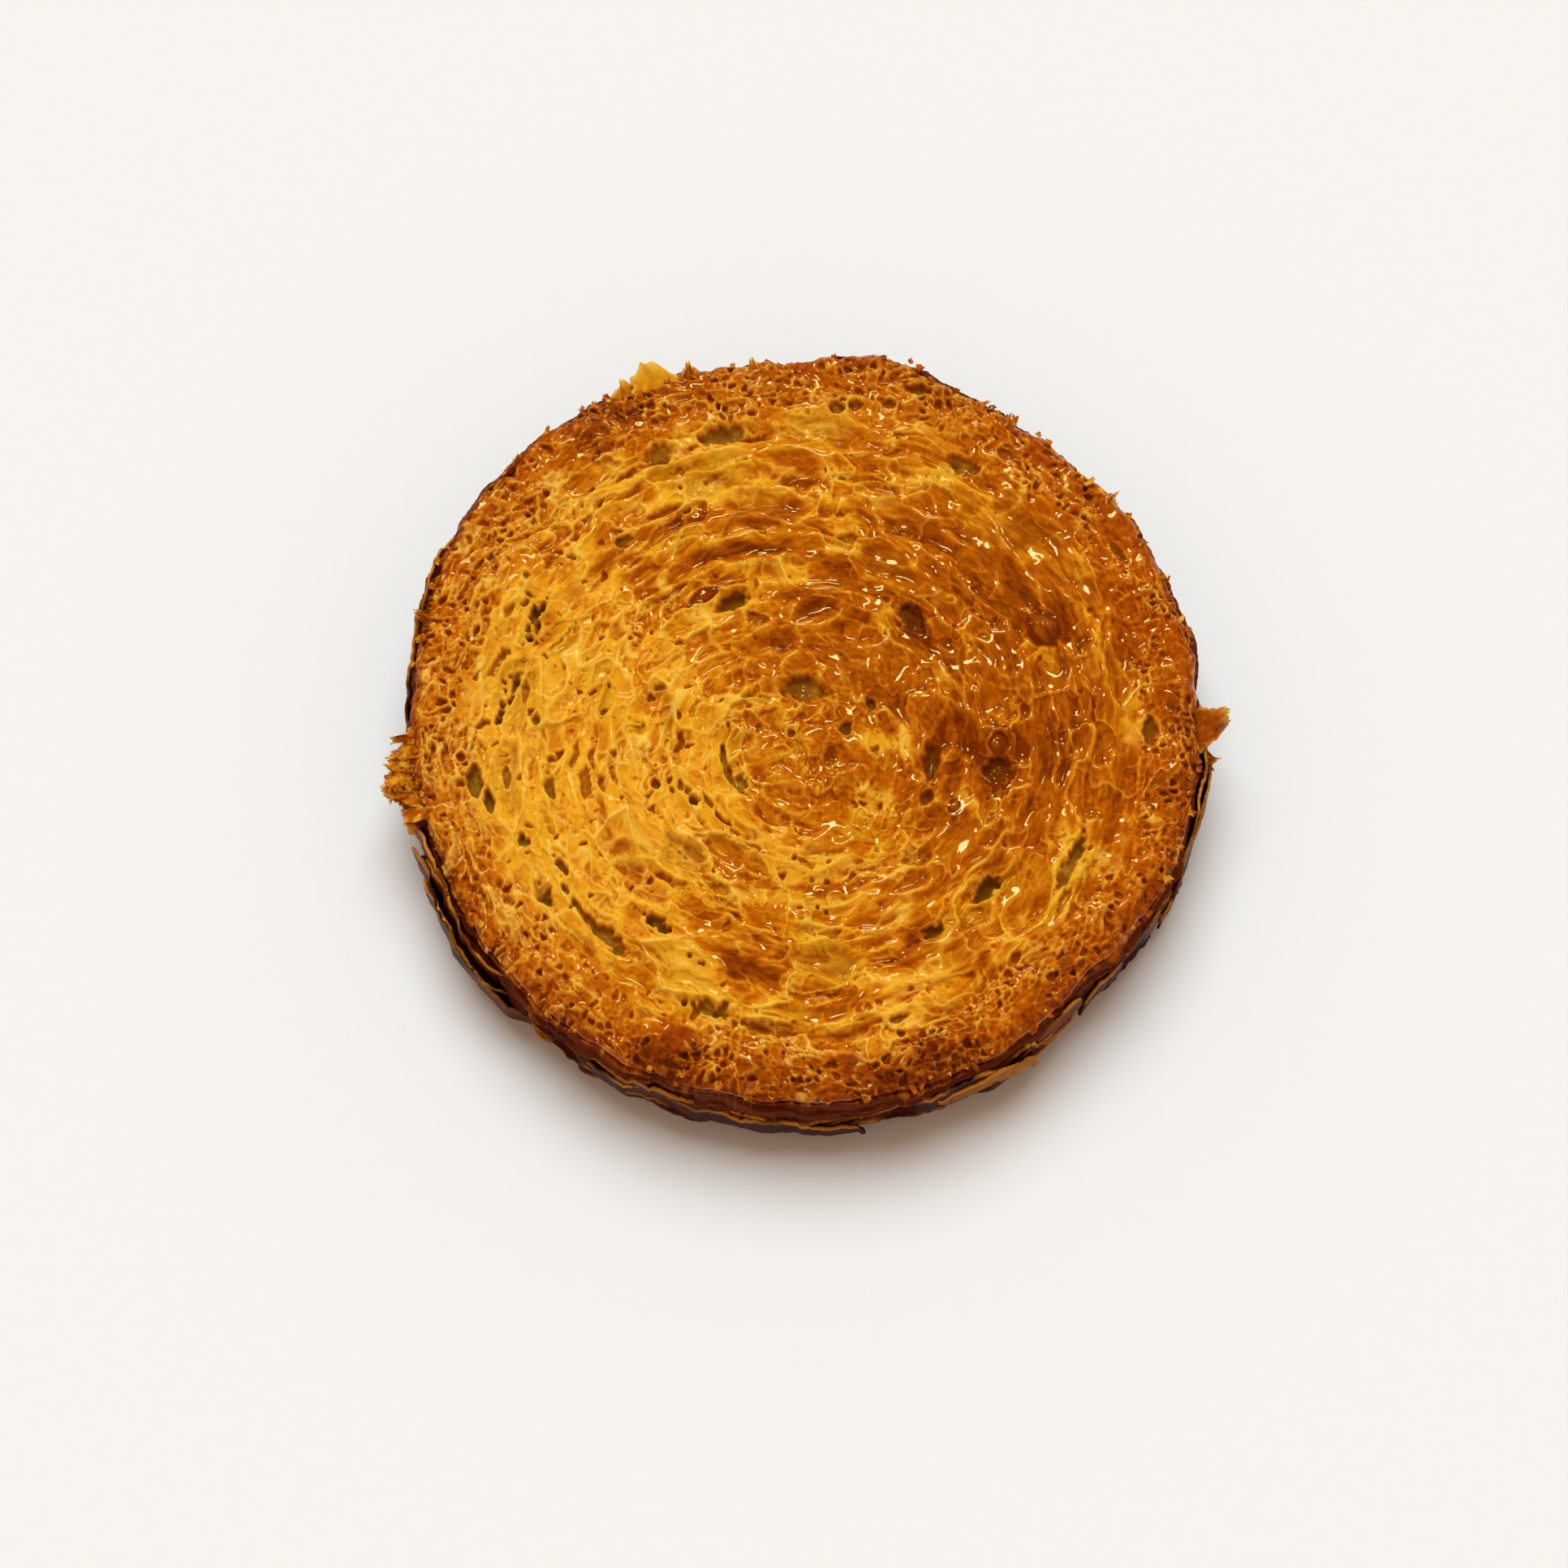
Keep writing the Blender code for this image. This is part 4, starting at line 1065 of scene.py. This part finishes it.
def double_sheet(long_steps, high_steps):
    """A flat sheet one unit long and high with both its sides, closed all round."""
    bm = bmesh.new()
    bmesh.ops.create_grid(bm, x_segments=long_steps, y_segments=high_steps, size=0.5)
    bmesh.ops.recalc_face_normals(bm, faces=bm.faces)
    bmesh.ops.solidify(bm, geom=bm.verts[:] + bm.edges[:] + bm.faces[:], thickness=1.0)
    bmesh.ops.recalc_face_normals(bm, faces=bm.faces)
    return bm


def skin_placer(first, last, foot, head_first, head_last, out_first, out_last, most_gap, browned):
    seed = 600 + int(abs(first) * 3 + abs(last))

    def place(u, v, w):
        along = u + 0.5
        up = v + 0.5
        length = abs(last - first) * math.radians(1) * RIM_RADIUS
        run = along * length
        jag = rough_grain(1.6, seed + 1, run, 3 * np.ones(run.shape)) + 0.4 * grain(0.6, seed + 5, run, run)
        end = 1.2 * rough_grain(2.2, seed + 9, up * 9, np.ones(up.shape)) * along ** 6 / length
        angle = np.radians(first + (last - first) * (along + end))
        head = head_first + (head_last - head_first) * along
        rise = np.sin(math.pi * np.clip(along, 0, 1)) ** 0.25
        height = foot + (head - foot) * up + 0.9 * jag * up ** 3
        height = foot + (height - foot) * (0.35 + 0.65 * rise)
        wave = 0.5 * rough_grain(7.0, seed + 12, run, 0.7 * height)
        wave = wave + 0.16 * rough_grain(1.5, seed + 15, run, 0.4 * height)
        x_face, y_face = face_place(np.ones(angle.shape), angle)
        side = wall_offset(np.clip(height / THICKNESS, 0, 1)) + np.hypot(x_face, y_face) - SKIN_ROOT
        stands = out_first + (out_last - out_first) * along
        stands = np.clip(stands, side + SKIN_ROOT + 0.15, side + SKIN_ROOT + most_gap)
        stands = stands + wave * min(1.0, most_gap)
        free = smooth_step(0.0, 0.6, up) * smooth_step(0.0, 0.2, along)
        out = side + (stands - side) * free
        out = out + SKIN_THICKNESS * (w - w.min()) / (w.max() - w.min())
        pale = np.clip(1.2 * along + 0.4 * grain(2.0, seed + 21, run, 3 * height), 0, 1)
        # edge, the torn top, takes a painted highlight, and gap, the foot, a painted red glow in the shade
        # behind
        facts = {
            "edge": smooth_step(0.88, 0.98, up) * np.clip(0.5 + 0.9 * grain(3.5, seed + 18, run, up), 0, 1),
            "gap": 1 - smooth_step(0.0, 0.25, up),
            "brown": browned + 0.12 * grain(5.0, seed + 20, run, height),
            "golden": (browned < 0.4) * pale,
        }
        return out * np.cos(angle), out * np.sin(angle), height, facts

    return place


for name, *skin in SKINS:
    span = abs(skin[1] - skin[0]) * math.radians(1) * RIM_RADIUS
    new_piece(name, double_sheet(round(span / SKIN_COLUMN), SKIN_ROWS), crust, skin_placer(*skin))

# ---------------------------------------------------------------------------------------------------------
# Torn leaves. Single flakes of crust stick out of the rim, each a small curved leaf with a ragged tip.

LEAF_THICKNESS = 0.3
LEAF_COLUMNS = 24
LEAF_ROWS = 20
# Angle, root, reach, foot, head, width, turn sideways (degrees, mm), and how brown
LEAVES = (
    ("right_leaf", -2.0, 47.5, 53.1, 12.0, 15.4, 6.4, 1.4, 0.45),
    ("right_leaf_under", -5.0, 48.5, 52.0, 8.0, 12.4, 5.0, -1.0, 0.60),
    ("top_left_leaf", 112.0, 45.5, 52.5, 13.2, 15.8, 10.5, 0.6, 0.0),
    ("top_left_leaf_low", 117.5, 46.5, 51.8, 12.5, 14.6, 7.5, -0.6, 0.25),
    ("left_leaf", 189.2, 46.5, 53.2, 11.6, 12.2, 4.2, 0.9, 0.3),
    ("left_horn", 182.4, 47.3, 51.2, 12.0, 14.2, 1.6, 1.2, 0.25),
    ("left_horn_low", 185.0, 47.3, 51.7, 11.6, 13.0, 1.7, 1.1, 0.2),
    ("top_tooth", 97.0, 46.0, 49.8, 13.8, 15.6, 3.6, 0.4, 0.2),
    ("top_tooth_left", 107.5, 47.8, 50.6, 13.8, 15.8, 4.0, -0.5, 0.3),
    ("upper_right_tooth", 36.0, 46.0, 49.8, 13.6, 15.8, 3.0, 0.5, 0.3),
    ("left_shoulder_tip", 164.0, 47.5, 50.6, 13.4, 15.4, 2.6, 0.5, 0.4),
    ("long_skin_spike", -83.0, 48.0, 50.4, 4.0, 6.4, 3.0, 1.0, 0.5),
    ("leaf_skin_spike", -57.5, 47.6, 50.4, 7.6, 10.6, 3.2, 1.0, 0.2),
)


def leaf_placer(turn, root, reach, foot, head, width, sideways, browned):
    seed = 700 + int(abs(turn))
    way = math.radians(turn)

    def place(u, v, w):
        along = u + 0.5
        side = (w - w.min()) / (w.max() - w.min())
        narrow = 1 - 0.62 * along ** 2 + 0.22 * rough_grain(0.9, seed, along * 5, np.sign(v))
        across = v * width * narrow + sideways * along ** 2
        reach_here = reach - np.abs(v) * (1 + grain(0.25, seed + 3, v, v)) - 0.5
        reach_here = reach_here - 0.6 * grain(0.12, seed + 4, v, v)
        out = root + (reach_here - root) * along
        rise = foot + (head - foot) * along + 0.9 * np.cos(math.pi * v * 1.6) * along
        rise = rise + 0.35 * rough_grain(1.6, seed + 6, out, across) + LEAF_THICKNESS * side
        # web pales the tip and edges with a painted highlight, and hollow darkens towards the root with
        # painted shade
        facts = {
            "sugar": np.full(u.shape, 0.1),
            "brown": 0.15 * (1 - along) + browned,
            "web": smooth_step(0.75, 1.0, np.maximum(along, 2 * np.abs(v))),
            "hollow": 0.4 * (1 - along),
            "pit": np.zeros(u.shape),
            "tone": np.full(u.shape, 0.3),
            "rim": np.full(u.shape, min(1.0, 2 * browned)),
        }
        x = out * math.cos(way) - across * math.sin(way)
        y = out * math.sin(way) + across * math.cos(way)
        return x, y, rise, facts

    return place


for name, *leaf in LEAVES:
    new_piece(name, double_sheet(LEAF_COLUMNS, LEAF_ROWS), crumb, leaf_placer(*leaf))

# ---------------------------------------------------------------------------------------------------------
# The tuft of torn crumb at the left, and the small flakes all round the rim, where the slice has crumbled.

TUFT_PLACE = 189.2  # degrees
TUFT_SPREAD = 2.5
TUFT_FLAKES = 56
RIM_FLAKES = 170
FLAKE_THICKNESS = 0.12
draw = random.Random(5)
noise.seed_set(5)  # without it, noise_vector bends the flakes otherwise on each run
# Angle, reach, height, size (degrees, mm)
TUFT_CLUMPS = (
    (183.0, 48.0, 12.4, 2.8),
    (185.5, 48.6, 12.8, 2.6),
    (188.0, 48.4, 12.4, 3.2),
    (190.5, 48.8, 12.0, 3.0),
    (192.5, 48.4, 11.8, 2.8),
    (193.5, 47.2, 12.2, 2.8),
)


def lumps(bm, clumps):
    """Rough lumps of crumb, torn all over."""
    for turn, reach, height, size in clumps:
        made = bmesh.ops.create_icosphere(bm, subdivisions=5, radius=1.0)
        way = math.radians(turn)
        middle = Vector((reach * math.cos(way), reach * math.sin(way), height))
        shift = Vector((reach, turn, height))
        for vert in made["verts"]:
            rough = 0.55 * noise.noise(vert.co * 1.7 + shift) + 0.35 * abs(noise.noise(vert.co * 4.2 + shift))
            rough -= 0.4 * max(0.0, noise.noise(vert.co * 7.5 + shift))
            vert.co = middle + vert.co * (0.5 * size * (0.95 + rough))
    return bm


def place_lump(x, y, z):
    mottle = rough_grain(1.2, 801, x, y, z)
    # Painted shade and painted highlight, spread by noise over the lumps and flakes
    facts = {
        "sugar": 0.15 + 0.2 * mottle,
        "brown": np.clip(0.1 + 0.4 * mottle, 0, 1),
        "web": smooth_step(0.3, 0.8, grain(0.5, 804, x, y, z)),
        "hollow": np.clip(0.3 - mottle, 0, 1),
        "crevice_shade": smooth_step(0.1, 0.6, -grain(0.8, 806, x, y, z)),
        "crest_highlight": smooth_step(0.1, 0.6, grain(0.8, 806, x, y, z)),
        "pit": np.zeros(x.shape),
        "tone": np.zeros(x.shape),
        "rim": np.full(x.shape, 0.6),
    }
    return x, y, z, facts


new_piece("torn_tuft", lumps(bmesh.new(), TUFT_CLUMPS), crumb, place_lump)


def flakes(rows):
    """Torn flakes, bent and curled, in one mesh.

    A row is a flake's middle, its way out, tilt, roll, length and width.
    """
    bm = bmesh.new()
    for middle, turn, tilt, roll, length, width in rows:
        start = len(bm.verts)
        made = bmesh.ops.create_grid(bm, x_segments=9, y_segments=7, size=0.5)
        faces = {face for vert in made["verts"] for face in vert.link_faces}
        edges = {edge for vert in made["verts"] for edge in vert.link_edges}
        bmesh.ops.solidify(bm, geom=made["verts"] + list(edges) + list(faces), thickness=FLAKE_THICKNESS)
        bm.verts.ensure_lookup_table()
        bend = draw.uniform(-0.9, 0.9)
        curl = draw.uniform(0.3, 1.0) * draw.choice((-1, 1))
        twist = Matrix.Rotation(turn, 3, "Z") @ Matrix.Rotation(-tilt, 3, "Y") @ Matrix.Rotation(roll, 3, "X")
        for vert in bm.verts[start:]:
            flat = vert.co.copy()
            jag = 1 + 0.6 * noise.noise(flat * 4 + middle)
            flat.x *= length * jag
            flat.y *= width * jag * (1 - 0.6 * abs(vert.co.x))
            round_y = math.sin(curl * flat.y) / curl
            round_z = (1 - math.cos(curl * flat.y)) / curl
            bent = Vector((flat.x, round_y, round_z + flat.z + bend * flat.x ** 2 / (length + 1)))
            bent += 0.12 * width * noise.noise_vector(bent * 1.3 + middle)
            vert.co = middle + twist @ bent
    return bm


def ring_spot(turn, reach, height):
    return Vector((reach * math.cos(turn), reach * math.sin(turn), height))


tuft_rows = []
for number in range(TUFT_FLAKES):
    turn = math.radians(draw.gauss(TUFT_PLACE, TUFT_SPREAD))
    wide = draw.uniform(0.9, 1.5) if number % 2 else draw.uniform(2.0, 3.0)
    lower = max(0.0, min(3.0, math.degrees(turn) - 186))
    spot = ring_spot(turn, draw.uniform(47.6, 49.4 + 0.6 * lower), draw.uniform(10.0, 14.2))
    tuft_rows.append((spot, draw.uniform(-math.pi, math.pi), draw.uniform(-0.5, 0.9), draw.uniform(-1.0, 1.0),
                      wide * draw.uniform(1.0, 1.7), wide))
new_piece("tuft_flakes", flakes(tuft_rows), crumb, place_lump)


def place_flake(x, y, z):
    x, y, z, facts = place_lump(x, y, z)
    facts["brown"] = np.clip(browning(*share_and_angle(x, y), x, y) + 0.1, 0, 0.5)
    return x, y, z, facts


rim_rows = []
for _ in range(RIM_FLAKES):
    turn = draw.uniform(-math.pi, math.pi)
    edge = float(np.hypot(*face_place(np.ones(1), np.array([turn])))[0])
    spot = ring_spot(turn, edge - draw.uniform(-0.15, 1.4), draw.uniform(14.2, 15.5))
    rim_rows.append((spot, turn + draw.gauss(0, 0.8), draw.uniform(-0.2, 0.25), draw.uniform(-0.5, 0.5),
                     draw.uniform(0.5, 1.5), draw.uniform(0.4, 1.0)))
new_piece("rim_flakes", flakes(rim_rows), crumb, place_flake)

# ---------------------------------------------------------------------------------------------------------
# The table, the light and the camera. A plain pale table top, a broad soft light from above and behind, and
# four small bright windows that only the wet caramel mirrors, as sparks.

CAMERA_RISE = math.radians(68.0)
CAMERA_AWAY = 456.2
CAMERA_SHIFT = (2.30, 9.10)  # to the right and up, from the middle of the cut face
LENS = 85
FILM = 36
SUN_PLACE = (-30, 350, 790)
SUN_COLOUR = (0.95, 1.17, 1.30)
SUN_STRENGTH = 2.0
SUN_WIDTH = math.radians(44)
ROOM_COLOUR = (1.0, 0.69, 0.50, 1)
ROOM_STRENGTH = 0.47
# Place (mm), width and height (m)
WINDOWS = (
    ((-60, 300, 420), 0.120, 0.055),
    ((10, 470, 260), 0.070, 0.045),
    ((-300, 330, 240), 0.050, 0.035),
    ((280, 340, 250), 0.050, 0.035),
)
WINDOW_GLOW = 46.0  # watts for each square metre
WINDOW_COLOUR = (0.90, 1.0, 0.45)
TABLE_SIDE = 3.0  # metres

bm = bmesh.new()
bmesh.ops.create_grid(bm, x_segments=1, y_segments=1, size=TABLE_SIDE)
table_mesh = bpy.data.meshes.new("table_top")
bm.to_mesh(table_mesh)
bm.free()
table = bpy.data.objects.new("table_top", table_mesh)
bpy.context.scene.collection.objects.link(table)
paper = bpy.data.materials.new("pale_paper")
paper.use_nodes = True
shader = paper.node_tree.nodes["Principled BSDF"]
fleck = speckle(paper.node_tree, put(paper.node_tree, "TexCoord").outputs["Object"], 2.0, 3.0)
pale = tint(paper.node_tree, fleck, (0.910, 0.892, 0.862, 1), (0.930, 0.912, 0.882, 1))
paper.node_tree.links.new(pale, shader.inputs["Base Color"])
shader.inputs["Roughness"].default_value = 0.9
shader.inputs["Specular IOR Level"].default_value = 0.1
table_mesh.materials.append(paper)

ahead = Vector((0, math.cos(CAMERA_RISE), -math.sin(CAMERA_RISE)))
right = Vector((1, 0, 0))
up = right.cross(ahead)
lens = bpy.data.cameras.new("camera")
lens.lens = LENS
lens.sensor_width = FILM
lens.clip_end = 20
camera = bpy.data.objects.new("camera", lens)
aim = Vector((0, 0, THICKNESS))
spot = aim - ahead * CAMERA_AWAY - right * CAMERA_SHIFT[0] - up * CAMERA_SHIFT[1]
camera.matrix_world = Matrix.Translation(spot * MM) @ Matrix((right, up, -ahead)).transposed().to_4x4()
bpy.context.scene.collection.objects.link(camera)
bpy.context.scene.camera = camera


def aim_light(name, kind, energy, place, colour=(1, 1, 1), **settings):
    """A light at a place in mm that looks at the middle of the disc."""
    light = bpy.data.lights.new(name, kind)
    light.energy = energy
    light.color = colour
    for key, value in settings.items():
        setattr(light, key, value)
    lamp = bpy.data.objects.new(name, light)
    turned = Vector(place).to_track_quat("Z", "Y").to_matrix().to_4x4()
    lamp.matrix_world = Matrix.Translation(Vector(place) * MM) @ turned
    bpy.context.scene.collection.objects.link(lamp)
    return lamp


key = aim_light("key_light", "SUN", SUN_STRENGTH, SUN_PLACE, SUN_COLOUR, angle=SUN_WIDTH)
key.visible_glossy = False
for number, (place, wide, high) in enumerate(WINDOWS):
    energy = WINDOW_GLOW * wide * high
    pane = {"shape": "RECTANGLE", "size": wide, "size_y": high}
    window = aim_light(f"window_{number}", "AREA", energy, place, WINDOW_COLOUR, **pane)
    window.visible_diffuse = False
world = bpy.data.worlds.new("room")
world.use_nodes = True
world.node_tree.nodes["Background"].inputs["Color"].default_value = ROOM_COLOUR
world.node_tree.nodes["Background"].inputs["Strength"].default_value = ROOM_STRENGTH
world.cycles_visibility.glossy = False
bpy.context.scene.world = world
bpy.context.scene.view_settings.view_transform = "Standard"
